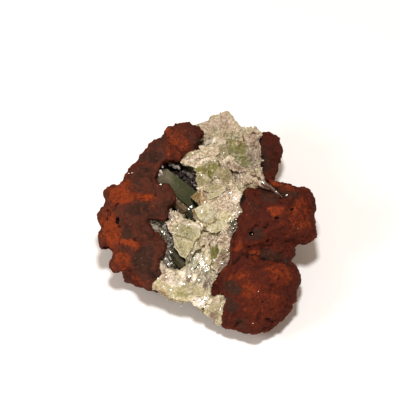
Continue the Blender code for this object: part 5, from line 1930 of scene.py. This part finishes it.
def vein_room(mass: Piece, stone: Front, face: Face) -> None:
    """Stores where chips may grow on the vein: away from the stone, and where it is powdery or glassy."""
    places, normals = read_skin(mass)
    free = 1.0 - stone.near(places, 0.3)
    facing = smooth(0.1, 0.6, normals @ face.outward())
    powder, grey = read_mask(mass, "powder"), read_mask(mass, "grey")
    grains = 0.2 + 0.8 * read_mask(mass, "grainy")
    write_mask(mass, "powder_room", free * facing * smooth(0.35, 0.8, powder) * grains)
    write_mask(mass, "dark_room", facing * smooth(0.55, 0.8, read_mask(mass, "dark")))
    deep = smooth(0.5, 0.9, read_mask(mass, "deep"))
    write_mask(mass, "back_room", (1.0 - stone.near(places, 0.7)) * deep)
    write_mask(mass, "glass_room", free * facing * smooth(0.3, 0.8, grey))


def build_all(frame: dict) -> None:
    """Builds and dresses every piece in order."""
    scene = bpy.context.scene
    scene.view_settings.view_transform = "Standard"
    face = find_face()
    studio = Studio(face)
    studio.camera()
    studio.lights()
    studio.table()

    nodes = frame["nodes"]
    stone = Gossan(face).build(nodes["gossan_matrix"], GossanFinish())
    broken = AdamiteFinish().make()
    clear = AdamiteFinish("clear adamite", transmission=0.22, roughness=0.33, facet=0.7, calm=0.08).make()
    loose = AdamiteFinish("loose grains", pale=(0.42, 0.32, 0.225), roughness=0.3, calm=0.2).make()
    vein = Vein(face)
    rock = Front(face, stone)
    crisp = vein.crisp(nodes["adamite_vein"], clear)
    mass = vein.mass(nodes["adamite_vein"], rock, crisp, broken)
    vein_room(mass, rock, face)
    splinter = Splinter().build("splinter")
    needle = Splinter(width=0.2, depth=0.15, shoulder=0.85).build("needle")
    lower_growth = face.matrix().to_3x3() @ Vector((-0.3, -0.9, 0.25)) / MM
    chips = CHIPS.grow(mass, splinter, loose)
    rods_down = Scatter("glass_rods", "glass_room", 0.8, 0.9, 2.0, 0.35, 0.12, 12, lower_growth)
    rods = rods_down.grow(mass, needle, clear)
    block = Splinter(width=0.8, depth=0.62, shoulder=0.5, root=-0.35).build("block")
    blocks = BLOCKS.grow(mass, block, broken)
    pocket = Pocket(face)
    prism = pocket.bars("green_prism", (pocket.long,), PrismFinish().make())
    shaded = PrismFinish("shaded green adamite", (0.062, 0.060, 0.030)).make()
    shade_bars = pocket.bars("shaded_prisms", pocket.green, shaded)
    # The dark pocket crystals are near black: partly their own colour, partly painted shade of the hollow.
    dark, brown, frosted, seam_look = (
        DruseFinish(name, colour, second, frost=frost, roughness=roughness).make()
        for name, colour, second, frost, roughness in (
            ("dark pocket crystals", (0.030, 0.018, 0.012), (0.050, 0.028, 0.018), 1.1, 0.5),
            ("brown pocket crystals", (0.17, 0.11, 0.055), (0.10, 0.06, 0.03), 0.96, 0.25),
            ("frosted crystals", (0.50, 0.41, 0.36), (0.27, 0.23, 0.19), 0.96, 0.3),
            ("dark seam druse", (0.185, 0.165, 0.10), (0.46, 0.40, 0.305), 0.72, 0.12),
        )
    )
    brown_bars = pocket.bars("brown_crystals", pocket.brown, brown)
    dark_bars = pocket.bars("dark_crystals", pocket.shaded, dark)
    frosted_bars = pocket.bars("frosted_crystals", pocket.frosted, frosted)
    pocket_crust = pocket.crust(nodes["pocket_crust"], "pocket_lining", dark)
    pocket_druse = POCKET_DRUSE.grow(pocket_crust, splinter, dark)
    seam_crust = pocket.crust(nodes["seam_crust"], "seam_lining", seam_look)
    seam_druse = SEAM_DRUSE.grow(seam_crust, splinter, seam_look)
    edge_druse = EDGE_DRUSE.grow(mass, splinter, seam_look)
    ground = Front(face, seam_crust, mass, stone)
    seam_green = pocket.bars("seam_green_crystals", pocket.seam_green, shaded, ground)
    seam_frosted = pocket.bars("seam_frosted_crystals", pocket.seam_frosted, frosted, ground)
    grown = (prism, shade_bars, seam_druse, edge_druse, seam_green, seam_frosted)
    bright = Sparkles(face).build(Front(face, mass, crisp, rods, chips, *grown, stone))

    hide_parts("gossan_matrix")
    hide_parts("adamite_vein")
    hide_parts("pocket_prism")
    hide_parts("pocket_crust")
    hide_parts("seam_crust")
    slots = {
        "gossan": (stone,),
        "adamite": (mass, crisp, chips, rods, blocks, bright),
        "green_adamite": (prism, shade_bars, seam_green),
        "dark_druse": (
            pocket_crust, pocket_druse, brown_bars, dark_bars, frosted_bars,
            seam_crust, seam_druse, edge_druse, seam_frosted,
        ),
    }
    for slot, pieces in slots.items():
        for piece in pieces:
            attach(piece, "root")
            report(piece)
    for seed in (splinter, needle, block):
        bpy.data.objects.remove(seed)


def main() -> None:
    """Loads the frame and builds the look."""
    logging.basicConfig(level=logging.INFO, format="%(message)s")
    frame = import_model()
    build_all(frame)


if __name__ == "__main__":
    main()
